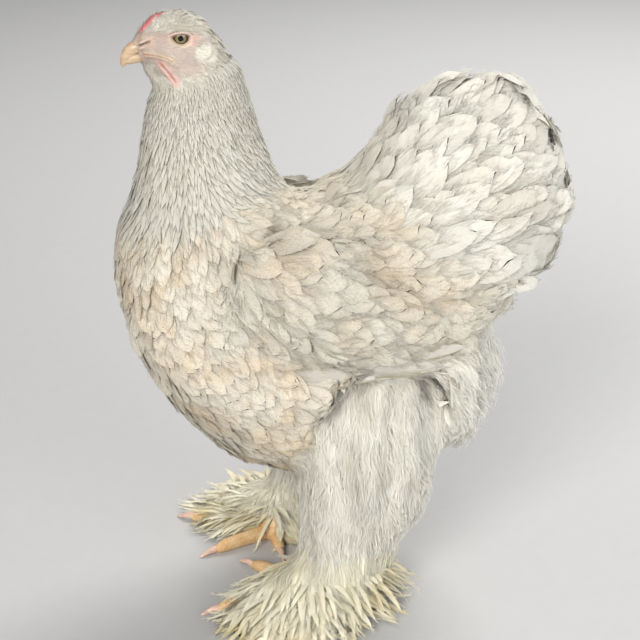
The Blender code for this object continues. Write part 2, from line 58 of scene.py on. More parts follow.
# The plumage by part: seven traits in millimetres, then shares. A feather is length long and twice width
# wide, and the next one is space away. Its root lies depth under the coat, and its tip lift over it. The coat
# lies inset inside the solids, and is lump uneven.
TRAITS = ["length", "width", "space", "depth", "lift", "inset", "lump",
          "loose", "point", "fringe", "cling", "grey", "buff", "pepper"]
IN_MM = 7
PLUMAGE = {
    "head": (10.0, 1.5, 2.0, 0.4, 0.8, 0.6, 0.0, 0.15, 0.8, 0.4, 0.95, 0.6, 0.1, 0.3),
    "neck": (44.0, 3.6, 4.4, 4.0, 0.7, 1.2, 0.6, 0.2, 0.8, 0.8, 0.92, 1.1, 0.1, 0.1),
    "breast": (40.0, 9.5, 9.5, 4.5, 0.5, 1.2, 1.2, 0.3, 0.15, 1.3, 0.95, 0.2, 0.7, 1.0),
    "trunk": (46.0, 10.5, 10.5, 4.5, 0.7, 1.2, 2.4, 0.35, 0.15, 2.0, 0.93, 0.12, 0.35, 0.6),
    "wing": (50.0, 11.0, 11.0, 4.0, 1.0, 1.2, 3.2, 0.25, 0.1, 3.0, 0.93, 0.2, 0.45, 1.0),
    "tail": (74.0, 12.5, 12.0, 7.0, 2.0, 6.0, 2.8, 0.5, 0.3, 2.6, 0.55, 0.05, 0.15, 0.2),
    "vent_fluff": (46.0, 9.0, 11.0, 9.0, -1.5, 4.5, 1.8, 0.5, 0.3, 0.8, 0.85, 0.05, 0.1, 0.0),
    "thigh": (40.0, 7.0, 9.5, 8.5, -2.6, 4.0, 2.2, 0.6, 0.4, 1.0, 0.9, 0.0, 0.15, 0.0),
    "boot": (36.0, 2.6, 4.8, 4.0, 0.9, 1.5, 1.8, 0.6, 0.75, 0.6, 0.75, 0.15, 0.25, 0.05),
}
CLOSEST = 0.5 * MM      # the least space between two feathers
GRID_CELLS = [2.4 * MM, 4.8 * MM, 9.6 * MM, 16.0 * MM]     # the grids in which neighbours are found

# How finely each surface is fused from its shapes.
COAT_VOXEL = 3.5 * MM
SKIN_VOXEL = 4.5 * MM
FACE_VOXEL = 0.74 * MM
LEG_VOXEL = 1.3 * MM

LEG_TOP = 60 * MM       # how high the scaled skin of the feet reaches
TOES_TOP = 17 * MM
TOE_SCUTE = 3.3 * MM    # the length of one scute
SHANK_SCUTE = 4.2 * MM

BILL_ROOT = Vector((-0.1500, 0.0, 0.4840))
EYE_AT = Vector((-0.1314, 0.0112, 0.4934))
EYE_RADIUS = 8.2 * MM
EYE_CORNERS = (7.0 * MM, 6.0 * MM)      # the opening's reach before and behind the pupil
EYE_LIDS = (3.4 * MM, 5.2 * MM)         # and over and under it
LOBE_AT = Vector((-0.1140, 0.0186, 0.4812))
LOBE_SIZE = (8.0 * MM, 6.0 * MM)        # half its length and half its height
LOBE_TILT = math.radians(38.0)
WATTLE_FROM = Vector((-0.1485, 0.0138, 0.4740))
WATTLE_TO = Vector((-0.1374, 0.0158, 0.4592))
COMB_FROM = Vector((-0.1585, 0.0, 0.4983))
COMB_TO = Vector((-0.1478, 0.0, 0.5074))
NOSTRIL = (Vector((-0.1632, 0.0082, 0.4871)), Vector((-0.1557, 0.0092, 0.4903)))
MOUTH = [(-0.1600, 0.0078, 0.4803), (-0.1530, 0.0096, 0.4806), (-0.1475, 0.0118, 0.4792),
         (-0.1428, 0.0138, 0.4774), (-0.1392, 0.0150, 0.4752)]

# The long feathers under the wing's edge: the first tip, the last one, and the shares between them.
FLIGHT_FROM = Vector((0.018, 0.0, 0.2245))
FLIGHT_TO = Vector((0.088, 0.0, 0.238))
FLIGHT_BACK = Vector((0.080, 0.0, -0.006))     # from a flight feather's root to its tip
FLIGHT_SHARES = (0.0, 0.16, 0.32, 0.48, 0.62, 0.74, 0.86, 1.0)

# The camera as solved from the photograph.
CAMERA_AT = (-0.2626, -1.1464, 0.76)
CAMERA_TURN = math.radians(12.0)
CAMERA_DOWN = math.radians(24.0)
CAMERA_LENS = 83.65
SENSOR = 36.0


def numbers(items, name, width, kind=np.float32):
    """A property of every item of a mesh, as rows."""
    found = np.empty(len(items) * width, kind)
    items.foreach_get(name, found)
    return found.reshape(-1, width)


def node_points(name):
    """The corners of one of the frame's nodes."""
    return numbers(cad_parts[name].data.vertices, "co", 3)


def trait(rows, name):
    """One trait's column."""
    return rows[:, TRAITS.index(name)]


def smooth(low, high, value):
    """0 at low, 1 at high and an even slope between."""
    t = np.clip((value - low) / (high - low), 0.0, 1.0)
    return t * t * (3.0 - 2.0 * t)


def unit(vectors):
    return vectors / np.maximum(np.linalg.norm(vectors, axis=-1, keepdims=True), 1e-9)


def link(name, mesh):
    obj = bpy.data.objects.new(name, mesh)
    bpy.context.scene.collection.objects.link(obj)
    return obj


def opened(mesh):
    """A mesh's shape, ready to be worked on."""
    bm = bmesh.new()
    bm.from_mesh(mesh)
    return bm


def piece_of(name, bm):
    """A finished shape as a piece."""
    mesh = bpy.data.meshes.new(name)
    bm.to_mesh(mesh)
    bm.free()
    mesh.shade_smooth()
    return link(name, mesh)


def settle(obj, finish, slot, *nodes):
    """Gives a finished piece its material, hangs it from the root body and hides the nodes it stands for;
    slot is not used.
    """
    obj.data.materials.clear()
    obj.data.materials.append(finish)
    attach(obj, "root")
    if nodes:
        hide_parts(*nodes)
    return obj


def copy_of(name, grow=CLOSE):
    """A node's shape with its doubled corners merged, a little larger."""
    bm = opened(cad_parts[name].data)
    bmesh.ops.remove_doubles(bm, verts=bm.verts, dist=1e-6)
    bm.normal_update()
    moved = [(vertex, vertex.co + vertex.normal * grow) for vertex in bm.verts]
    for vertex, place in moved:
        vertex.co = place
    return bm


def gathered(name, shapes):
    """Several shapes as one mesh."""
    whole = bmesh.new()
    for bm in shapes:
        mesh = bpy.data.meshes.new(name)
        bm.to_mesh(mesh)
        bm.free()
        whole.from_mesh(mesh)
        bpy.data.meshes.remove(mesh)
    mesh = bpy.data.meshes.new(name)
    whole.to_mesh(mesh)
    whole.free()
    return mesh


def fused(name, shapes, voxel, rounds):
    """One closed surface round several closed shapes, softened."""
    obj = link(name, gathered(name, shapes))
    remesh = obj.modifiers.new("fuse", "REMESH")
    remesh.mode = "VOXEL"
    remesh.voxel_size = voxel
    soften = obj.modifiers.new("soften", "SMOOTH")
    soften.factor = 0.5
    soften.iterations = rounds
    bpy.context.view_layer.update()
    made = bpy.data.meshes.new_from_object(obj.evaluated_get(bpy.context.evaluated_depsgraph_get()))
    bpy.data.objects.remove(obj)
    return made


class Form:
    """A closed surface that tells its nearest place, and what the coat does there."""

    def __init__(self, mesh):
        self.mesh = mesh
        self.edges = numbers(mesh.edges, "vertices", 2, np.int32)
        mesh.calc_loop_triangles()
        self.triangles = numbers(mesh.loop_triangles, "vertices", 3, np.int32)
        self.read()

    def read(self):
        self.points = numbers(self.mesh.vertices, "co", 3)
        self.normals = numbers(self.mesh.vertices, "normal", 3)
        self.tree = BVHTree.FromPolygons(self.points.tolist(), self.triangles.tolist())

    def move(self, by):
        """Moves every vertex along its normal."""
        self.mesh.vertices.foreach_set("co", (self.points + self.normals * by[:, None]).ravel())
        self.mesh.update()
        self.read()

    def spread(self, values, rounds):
        """Values of the vertices, evened out with their neighbours."""
        first, second = self.edges.T
        count = np.bincount(self.edges.ravel(), minlength=len(values))
        values = values.astype(float)
        for _ in range(rounds):
            for k in range(values.shape[1]):
                column = values[:, k]
                total = np.bincount(first, column[second], len(column))
                total += np.bincount(second, column[first], len(column))
                values[:, k] = 0.4 * column + 0.6 * total / count
        return values

    def dress(self, labels):
        """Sets the coat's traits and lie at every vertex."""
        self.traits = self.spread(traits_at(self.points, labels), 5)
        lie = self.spread(lie_at(self.points, labels), 6)
        lie -= self.normals * np.sum(lie * self.normals, axis=1, keepdims=True)
        self.lie = unit(lie)

    def ready(self):
        """Sets every triangle's normal, lie and traits."""
        self.face_normals = [Vector(row) for row in unit(self.normals[self.triangles].mean(axis=1)).tolist()]
        self.face_lie = [Vector(row) for row in unit(self.lie[self.triangles].mean(axis=1)).tolist()]
        self.face_traits = self.traits[self.triangles].mean(axis=1)


def nearest_parts(points, names):
    """For each point, the part whose node is nearest."""
    corners, triangles, owners, offset = [], [], [], 0
    for name in names:
        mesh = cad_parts[name].data
        mesh.calc_loop_triangles()
        own = numbers(mesh.loop_triangles, "vertices", 3, np.int32) + offset
        corners += numbers(mesh.vertices, "co", 3).tolist()
        triangles += own.tolist()
        owners += [name] * len(own)
        offset = len(corners)
    tree = BVHTree.FromPolygons(corners, triangles)
    return np.array([owners[tree.find_nearest(point)[2]] for point in points.tolist()])


def part_of(label):
    return label.replace("_left", "").replace("_right", "")


def foot_centre(side):
    """Where the middle of a foot's pad stands."""
    points = node_points("shank_" + side)
    return points[points[:, 2] < 4 * MM].mean(axis=0)


FOOT_CENTRES = {side: foot_centre(side) for side in SIDES}


def traits_at(points, labels):
    """The plumage's traits at each point, from its part and its place on it."""
    x, _, z = points.T
    parts = np.array([part_of(label) for label in labels])
    found = np.zeros((len(points), len(TRAITS)))
    for part, row in PLUMAGE.items():
        found[parts == part] = row

    def blend(part, share, **ends):
        """Sets traits between two values: the first where the share is 0, the second where it is 1."""
        mask = parts == part
        for name, (low, high) in ends.items():
            trait(found, name)[mask] = (low + (high - low) * share)[mask]

    def more(part, share, **most):
        """Adds to traits, at most as much as given."""
        mask = parts == part
        for name, change in most.items():
            trait(found, name)[mask] += (change * share)[mask]

    def scale(part, share, **most):
        """Makes traits larger or smaller, at most by the given share of each."""
        mask = parts == part
        for name, change in most.items():
            trait(found, name)[mask] *= (1.0 + change * share)[mask]

    blend("neck", smooth(0.345, 0.470, z), length=(52.0, 14.0), width=(4.2, 1.1), space=(4.5, 1.75),
          depth=(4.5, 1.5), lift=(0.8, 0.55), inset=(1.6, 0.6), grey=(1.0, 1.3), loose=(0.3, 0.2))
    front = smooth(-0.100, -0.150, x)
    scale("neck", 0.45 * front * smooth(0.43, 0.36, z), grey=-1.0)

    behind = smooth(0.010, 0.050, np.linalg.norm(points - np.array(BILL_ROOT), axis=1))
    blend("head", behind, length=(4.0, 14.0), width=(0.5, 2.0), space=(1.2, 2.35), depth=(0.3, 0.8),
          lift=(0.6, 1.5))
    scale("head", bare_cheek(points), width=-0.65, length=-0.3, lift=-0.5)
    more("head", smooth(-0.128, -0.108, x), grey=0.25)
    comb, _ = to_line(folded(points), COMB_FROM, COMB_TO)
    more("head", smooth(7.5 * MM, 4.5 * MM, comb), lift=2.6)
    scale("head", smooth(12.0 * MM, 7.0 * MM, comb), length=-0.35)
    scale("head", smooth(14.0 * MM, 7.0 * MM, comb), grey=-0.7)

    rim = np.maximum(smooth(0.115, 0.160, x), smooth(0.405, 0.440, z))
    more("tail", rim, cling=-0.25, lift=1.2, loose=0.3)
    scale("tail", smooth(0.115, 0.165, x), length=-0.22)

    high = smooth(0.28, 0.36, z)
    scale("breast", high, width=-0.35, space=-0.28)
    more("breast", high, point=0.35, grey=0.35)
    belly = smooth(0.16, 0.115, z)
    for part in ("breast", "trunk"):
        more(part, belly, loose=0.5, fringe=1.2, buff=0.35, lift=1.6, cling=-0.35)

    more("wing", smooth(0.245, 0.222, z), cling=-0.30)
    beside_leg = smooth(-0.06, -0.02, x) * smooth(0.235, 0.215, z)
    more("breast", beside_leg, cling=-0.25, fringe=2.0)

    shoulder = smooth(0.0, -0.08, x) * smooth(0.29, 0.33, z)
    more("trunk", shoulder, grey=0.5, point=0.4)
    scale("trunk", shoulder, width=-0.35, space=-0.25)

    fan = smooth(0.040, 0.015, z)
    more("boot", fan, length=6.0, buff=0.5, grey=0.3)
    found[:, :IN_MM] *= MM
    return found


def lie_at(points, labels):
    """The way that the feathers lie at each point."""
    x, y, z = points.T
    parts = np.array([part_of(label) for label in labels])
    found = np.zeros((len(points), 3))

    def lay(part, along, across, up):
        mask = parts == part
        found[mask] = np.stack(np.broadcast_arrays(along, across, up), axis=1)[mask]

    away = unit(points - np.array(BILL_ROOT))
    lay("head", away[:, 0] + 0.65, away[:, 1] * 0.5, away[:, 2] - 0.15 - 0.5 * smooth(-0.125, -0.100, x))
    back = smooth(-0.165, -0.075, x)
    low = smooth(0.44, 0.36, z)
    lay("neck", -0.12 + 0.42 * back + 0.75 * back * low, 0.12 * np.sign(y) * low, -1.0)
    under = smooth(0.34, 0.13, z)
    lay("breast", 0.08 + 0.35 * smooth(0.03, 0.09, np.abs(y)) + 0.9 * under, 0.0 * x, -1.0 + 0.45 * under)
    lay("trunk", 1.0, 0.0 * x, 0.02 - 0.35 * smooth(0.31, 0.24, z) + 0.2 * smooth(0.02, 0.09, x))
    lay("wing", 0.55 + 0.42 * smooth(-0.11, -0.04, x), 0.0 * x, -0.75 + 0.45 * smooth(-0.11, -0.03, x))
    from_root = unit(np.stack([x - 0.015, 0.55 * y, z - 0.300], axis=1))
    lay("tail", from_root[:, 0] + 0.25, from_root[:, 1], from_root[:, 2] - 0.25 * smooth(0.34, 0.26, z))
    lay("vent_fluff", 0.50 + 0.2 * smooth(0.15, 0.22, z), 0.0 * x, -0.85)
    lay("thigh", 0.05 + 0.2 * smooth(0.02, 0.07, x), 0.0 * x, -1.0)
    for side in SIDES:
        mask = labels == "boot_" + side
        out = unit((points - FOOT_CENTRES[side]) * (1.0, 1.0, 0.0))
        down = smooth(0.016, 0.050, z)[:, None]
        found[mask] = (out * (1.0 - down) + (0.02, 0.0, -1.0) * down - (0.0, 0.0, 0.2))[mask]
    return unit(found)


def to_line(points, start, end):
    """Each point's distance from a straight line between two places, and its share along it."""
    start, end = np.array(start), np.array(end)
    share = np.clip(((points - start) @ (end - start)) / ((end - start) @ (end - start)), 0.0, 1.0)
    return np.linalg.norm(points - start - share[:, None] * (end - start), axis=1), share


def beside(points, start, end):
    """Each point's distance in side view from a straight line between two places."""
    flat = (1.0, 0.0, 1.0)
    return to_line(points * flat, np.array(start) * flat, np.array(end) * flat)[0]


def folded(points):
    """The points with their right half laid over on the left one, as y at zero or over."""
    return points * (1.0, 0.0, 1.0) + np.abs(points) * (0.0, 1.0, 0.0)


def eye_reach(points):
    """How far each point is from the eye in side view, in openings."""
    across = points[:, 0] - EYE_AT.x
    up = points[:, 2] - EYE_AT.z
    return np.hypot(across / np.where(across < 0, *EYE_CORNERS), up / np.where(up > 0, *EYE_LIDS))


def bare_cheek(points):
    """The thinly feathered face: 1 before, below and behind the eye, 0 on the crown and the nape."""
    near = folded(points)
    top = smooth(0.5010, 0.4960, near[:, 2] - 0.10 * (near[:, 0] + 0.131))
    lower = smooth(0.4600, 0.4680, near[:, 2])
    chin = smooth(-0.1475, -0.1535, near[:, 0]) * smooth(0.4755, 0.4715, near[:, 2])
    return top * lower * smooth(0.0, 0.006, near[:, 1]) * smooth(-0.108, -0.120, near[:, 0]) * (1.0 - chin)


def lobe_reach(points):
    """How far each point is from the ear lobe in side view, in lobes."""
    across, up = points[:, 0] - LOBE_AT.x, points[:, 2] - LOBE_AT.z
    cosine, sine = math.cos(LOBE_TILT), math.sin(LOBE_TILT)
    along, over = across * cosine + up * sine, up * cosine - across * sine
    return np.hypot(along / LOBE_SIZE[0], over / LOBE_SIZE[1])


def bare(points):
    """Where the face has no feathers: 1 on eye, comb, lobe, wattle and bill, 0 on the coat."""
    points = folded(points)
    eye = smooth(1.65, 1.30, eye_reach(points))
    lobe = smooth(1.10, 0.95, np.minimum(lobe_reach(points), lobe_reach(points + (3.5 * MM, 0.0, -1.0 * MM))))
    comb, _ = to_line(points, COMB_FROM, COMB_TO)
    for share in (0.35, 0.7, 1.0):
        ahead, _ = to_line(points + (4.6 * MM * share, 0.0, 5.0 * MM * share), COMB_FROM, COMB_TO)
        comb = np.minimum(comb, ahead + 1.0 * MM * share)
    parting = smooth(0.8 * MM, 1.6 * MM, points[:, 1])
    wattle = beside(points, WATTLE_FROM, WATTLE_TO)
    cere = beside(points, *NOSTRIL) + 9.0 * MM * (points[:, 1] < 4 * MM)
    mouth = beside(points, MOUTH[0], MOUTH[-1])
    bill = smooth(-0.1600, -0.1640, points[:, 0]) * smooth(0.4930, 0.4900, points[:, 2])
    found = np.maximum.reduce([
        eye, lobe, parting * smooth(6.4 * MM, 5.6 * MM, comb), smooth(4.4 * MM, 3.2 * MM, wattle),
        smooth(5.0 * MM, 3.6 * MM, cere), smooth(3.2 * MM, 2.2 * MM, mouth), bill])
    return found * (points[:, 2] > 0.455)


def areas(form):
    """Each triangle's area."""
    a, b, c = (form.points[form.triangles[:, k]] for k in range(3))
    return 0.5 * np.linalg.norm(np.cross(b - a, c - a), axis=1)


def drawn_places(form, weight, count, rng):
    """Places drawn at random, as often on each triangle as its weight says: points and triangles."""
    a, b, c = (form.points[form.triangles[:, k]] for k in range(3))
    owner = rng.choice(len(weight), count, p=weight / weight.sum())
    u, v = rng.random((2, count))
    u, v = np.where(u + v > 1.0, (1.0 - u, 1.0 - v), (u, v))
    return a[owner] + (b - a)[owner] * u[:, None] + (c - a)[owner] * v[:, None], owner


def scatter(form, chosen, tries, rng):
    """Places over the chosen triangles, each its own spacing from its neighbours: points and triangles."""
    space = trait(form.face_traits, "space")
    wanted = areas(form) / np.maximum(space, CLOSEST) ** 2 * chosen
    places, owner = drawn_places(form, wanted, int(wanted.sum() * tries), rng)
    grids = [{} for _ in GRID_CELLS]
    around = [(i, j, k) for i in (-1, 0, 1) for j in (-1, 0, 1) for k in (-1, 0, 1)]
    kept = []
    for index, (place, reach) in enumerate(zip(places.tolist(), space[owner].tolist(), strict=True)):
        level = next(i for i, cell in enumerate(GRID_CELLS) if reach <= cell or cell == GRID_CELLS[-1])
        grid, cell = grids[level], GRID_CELLS[level]
        i, j, k = (math.floor(value / cell) for value in place)
        near = (other for di, dj, dk in around for other in grid.get((i + di, j + dj, k + dk), ()))
        if any(math.dist(place, other) < reach for other in near):
            continue
        kept.append(index)
        for other_grid, other_cell in zip(grids, GRID_CELLS, strict=True):
            key = tuple(math.floor(value / other_cell) for value in place)
            other_grid.setdefault(key, []).append(place)
    return places[kept], owner[kept]


def trace(form, places, owners, lengths, yaws, clings, rows, behind):
    """Lines along the coat's lie, one for each feather: middle points, normals and directions, root first.

    behind is the share of the length that lies before the given place. A line clings to the coat as far as
    clings says, and otherwise goes straight on.
    """
    before = round(behind * (rows - 1))
    lines = np.empty((len(places), 3, rows, 3), np.float32)
    find = form.tree.find_nearest
    for i, place in enumerate(places.tolist()):
        step = lengths[i] / (rows - 1)
        turn_c, turn_s = math.cos(yaws[i]), math.sin(yaws[i])
        cling = clings[i]
        for way, count in ((-1.0, before), (1.0, rows - 1 - before)):
            point, triangle = Vector(place), owners[i]
            ahead, normal = None, form.face_normals[triangle]
            for k in range(count + 1):
                normal = normal.lerp(form.face_normals[triangle], 0.6).normalized()
                lie = form.face_lie[triangle]
                turned = lie * turn_c + normal.cross(lie) * turn_s
                hold = cling if way > 0 else 1.0
                ahead = turned if ahead is None else ahead.lerp(turned, 0.25 + 0.75 * hold).normalized()
                row = before + int(way) * k
                lines[i, 0, row] = point
                lines[i, 1, row] = normal
                lines[i, 2, row] = ahead
                free = point + ahead * (step * way)
                near, _, triangle, gap = find(free)
                point = free.lerp(near, hold if gap < step else 0.5 * hold)
    return lines


def waves(points, size, seed, lie=None):
    """A smooth random value at each point, about 1 high and size across; with lie, long ridges along it."""
    rng = np.random.default_rng(seed)
    count = 12
    ways = unit(rng.normal(size=(count, 3)))
    phases = rng.uniform(0.0, math.tau, count)
    pitch = math.tau / size * rng.uniform(0.6, 1.5, (count, 1))
    value = np.sin(points @ (ways * pitch).T + phases)
    if lie is not None:
        value = value * (1.0 - np.abs(lie @ ways.T)) ** 1.5 * 2.2
    return value.sum(axis=1) * math.sqrt(2.0 / count)


def template_of(bm):
    """A small closed shape as arrays: its places and its faces, as corner lists and their sizes."""
    bm.verts.index_update()
    places = np.array([tuple(vertex.co) for vertex in bm.verts])
    corners = [vertex.index for face in bm.faces for vertex in face.verts]
    sizes = [len(face.verts) for face in bm.faces]
    bm.free()
    return places, np.array(corners), np.array(sizes)


def vane_template(rows, columns):
    """A flat closed vane: many faces on its outer side and a strip of few behind. x is across, y along."""
    bm = bmesh.new()
    bmesh.ops.create_grid(bm, x_segments=columns - 1, y_segments=rows - 1, size=1.0)
    for vertex in bm.verts:
        vertex.co.y = (vertex.co.y + 1.0) / 2.0
    levels = {}
    for vertex in bm.verts:
        levels.setdefault(round(vertex.co.y * (rows - 1)), []).append(vertex)
    lines = [sorted(levels[k], key=lambda vertex: vertex.co.x) for k in range(rows)]
    for k in range(rows - 1):
        near = lines[k] if k == 0 else [lines[k][0], lines[k][-1]]
        far = lines[k + 1] if k == rows - 2 else [lines[k + 1][0], lines[k + 1][-1]]
        bm.faces.new([*near, *reversed(far)][::-1])
    return template_of(bm)


def strand_template():
    """A thin closed spike: a point, three corners round its middle, and a point. z is along, from -1 to 1."""
    bm = bmesh.new()
    bmesh.ops.create_uvsphere(bm, u_segments=3, v_segments=2, radius=1.0)
    return template_of(bm)


class Patchwork:
    """Many small shapes gathered as arrays, and made one mesh at the end."""

    def __init__(self):
        self.points, self.corners, self.sizes, self.vane, self.bake, self.marks = [], [], [], [], [], []
        self.normals = []
        self.count = 0

    def add(self, template, points, normals, vane, bake, marks, behind=0):
        """Adds a shape once for each row of points, normals, vane, bake and marks.

        marks holds one colour for each shape, and the others one place for each of its corners. behind is how
        many of the template's last faces look the other way.
        """
        _, corners, sizes = template
        shapes, each = points.shape[:2]
        start = self.count + np.arange(shapes) * each
        self.corners.append((corners[None, :] + start[:, None]).ravel())
        facing = np.ones(len(corners))
        facing[len(corners) - sizes[len(sizes) - behind:].sum():] = -1.0
        self.normals.append((normals[:, corners] * facing[None, :, None]).reshape(-1, 3))
        self.sizes.append(np.tile(sizes, shapes))
        self.points.append(points.reshape(-1, 3))
        self.vane.append(vane.reshape(-1, 2))
        self.bake.append(bake.reshape(-1, 2))
        self.marks.append(np.repeat(marks, each, axis=0))
        self.count += shapes * each

    def made(self, name):
        points, corners, sizes = (np.concatenate(rows) for rows in (self.points, self.corners, self.sizes))
        mesh = bpy.data.meshes.new(name)
        mesh.vertices.add(len(points))
        mesh.vertices.foreach_set("co", points.astype(np.float32).ravel())
        mesh.loops.add(len(corners))
        mesh.loops.foreach_set("vertex_index", corners.astype(np.int32))
        mesh.polygons.add(len(sizes))
        mesh.polygons.foreach_set("loop_start", (np.cumsum(sizes) - sizes).astype(np.int32))
        mesh.update(calc_edges=True)
        for layer_name, rows in (("OFBake", self.bake), ("Vane", self.vane)):
            layer = mesh.uv_layers.new(name=layer_name)
            layer.uv.foreach_set("vector", np.concatenate(rows)[corners].astype(np.float32).ravel())
        colour = mesh.color_attributes.new("Marking", "FLOAT_COLOR", "POINT")
        colour.data.foreach_set("color", np.concatenate(self.marks).astype(np.float32).ravel())
        mesh.shade_smooth()
        mesh.normals_split_custom_set(np.concatenate(self.normals).astype(np.float32))
        return link(name, mesh)


def vane_normals(points, template, behind):
    """The normals of bent vanes at their corners, from the faces of their outer side."""
    _, corners, sizes = template
    found = np.zeros(points.shape)
    start = 0
    for size in sizes[:len(sizes) - behind]:
        a, b, c, d = corners[start:start + size]
        normal = np.cross(points[:, c] - points[:, a], points[:, d] - points[:, b])
        for corner in (a, b, c, d):
            found[:, corner] += normal
        start += size
    return unit(found)


def outline(along, point):
    """A vane's half width along it, as a share: round at the tip, or pointed as far as point says."""
    widen = np.sin(np.clip(along / 0.6, 0.0, 1.0) * math.pi / 2) ** 0.8
    close = np.sqrt(np.clip(1.0 - ((along - 0.55).clip(0.0) / 0.455) ** 2, 0.0, 1.0))
    rounded = (0.15 + 0.85 * widen) * close
    lance = (along + 0.02) ** 0.5 * (1.02 - along) ** 0.8 / 0.44
    return rounded * (1.0 - point) + lance * point


def vanes(lines, traits, template, rng):
    """The places of every feather's corners, bent along its line."""
    places = template[0]
    across, along = places[:, 0], places[:, 1]
    rows = lines.shape[2]
    row = np.round(along * (rows - 1)).astype(int)
    centre, normal, ahead = (lines[:, k][:, row] for k in range(3))
    side = unit(np.cross(ahead, normal))
    count = len(lines)
    roll = rng.normal(0.0, 0.06, (count, 1, 1)) * (1.0 + traits["loose"][:, None, None])
    side, normal = side * np.cos(roll) + normal * np.sin(roll), normal * np.cos(roll) - side * np.sin(roll)
    loose = traits["loose"][:, None]
    tip = smooth(0.40, 0.9, along)
    edge = np.abs(across) ** 4
    split = rng.random((count, len(along))) < 0.16 * loose
    ragged = 1.0 - edge * tip * (0.38 * split + 0.14 * loose * rng.uniform(-0.6, 1.0, (count, len(along))))
    half = traits["width"][:, None] * outline(along, traits["point"][:, None]) * ragged
    half = half * rng.uniform(0.82, 1.15, (count, 1))
    length = traits["length"][:, None]
    pull = 0.05 * across ** 2 * along ** 4 * (1.0 - traits["point"][:, None]) * length
    shift = loose * tip * rng.uniform(-0.022, 0.022, (count, len(along))) * length - pull
    sway = rng.normal(0.0, 0.06, (count, 1)) * length * along ** 2
    curl = rng.normal(0.0, 0.30, (count, 1)) * traits["lift"][:, None]
    camber = rng.uniform(0.02, 0.09, (count, 1))
    arch = along ** 1.6 * (1.0 - 0.72 * smooth(0.66, 1.0, along) * (1.0 - loose))
    height = (-traits["depth"][:, None] * (1.0 - along) ** 1.25 + traits["lift"][:, None] * arch
              + curl * along ** 2 - camber * half * across ** 2
              + loose * tip * rng.normal(0.0, 0.00015, (count, len(along))))
    return (centre + side * (across * half + sway)[..., None] + normal * height[..., None]
            + ahead * shift[..., None])


def spikes(base, middle, tip, normal, thick):
    """The places of thin spikes from base by way of middle to tip."""
    places = STRAND[0]
    side = unit(np.cross(normal, tip - base))
    found = np.empty((len(base), len(places), 3))
    for k, (across, up, along) in enumerate(places):
        if abs(along) < 0.5:
            found[:, k] = middle + (side * across + normal * up) * thick[:, None]
        else:
            found[:, k] = tip if along > 0 else base
    return found


BROAD_ROWS, NARROW_ROWS = 11, 7
BROAD = vane_template(BROAD_ROWS, 7)
NARROW = vane_template(NARROW_ROWS, 3)
STRAND = strand_template()
ROOT_PATCH = 0.003      # how large a feather's patch is on the skin's unwrap
FLOOR_CLEAR = 0.3 * MM  # how far over the floor every feather stays
PLUME_WIDTH = 2.3 * MM  # half the width of a foot's stiff feathers
WIDEST = 145 * MM       # how far out to either side the foot feathers reach
SHARPEST_CREASE = 0.35  # how far a feather's normal may tip back from one row to the next
FRINGES = {True: 12.0, False: 3.5}      # loose strands of a feather, broad or not, where its fringe is 1
SOFTNESS = {True: 0.78, False: 0.78 - 0.15}     # how much it is shaded as the coat, and not on its own


def on_patch(roots, flat):
    """Each corner's place on the skin's unwrap: a small patch at its feather's root."""
    return roots[:, None] + ROOT_PATCH * (flat - 0.5)


def add_spikes(made, points, normals, roots, marks):
    """Gathers spikes, whose patch on the unwrap is narrow."""
    shape = STRAND[0]
    flat = np.stack([shape[:, 0] * 0.3 + 0.5, shape[:, 2] * 0.4 + 0.1 * shape[:, 1] + 0.5], axis=1)
    flat = np.broadcast_to(flat, (len(points), len(shape), 2))
    # The vane runs from 0.53 along at a spike's base to 0.97 at its tip, so that its base takes a little
    # painted shade.
    vane = np.broadcast_to(np.stack([0.5 + 0.0 * shape[:, 0], 0.75 + 0.22 * shape[:, 2]], axis=1), flat.shape)
    normals = np.broadcast_to(normals[:, None], points.shape)
    made.add(STRAND, above_floor(points), normals, vane, on_patch(roots, flat), marks)


def marks_of(traits, low, high, rng):
    """Each shape's grey, buff, pepper and chance, with the first three varied between two shares."""
    count = len(traits["grey"])
    marks = np.stack([traits["grey"], traits["buff"], traits["pepper"], rng.random(count)], axis=1)
    marks[:, :3] *= rng.uniform(low, high, (count, 3))
    return marks


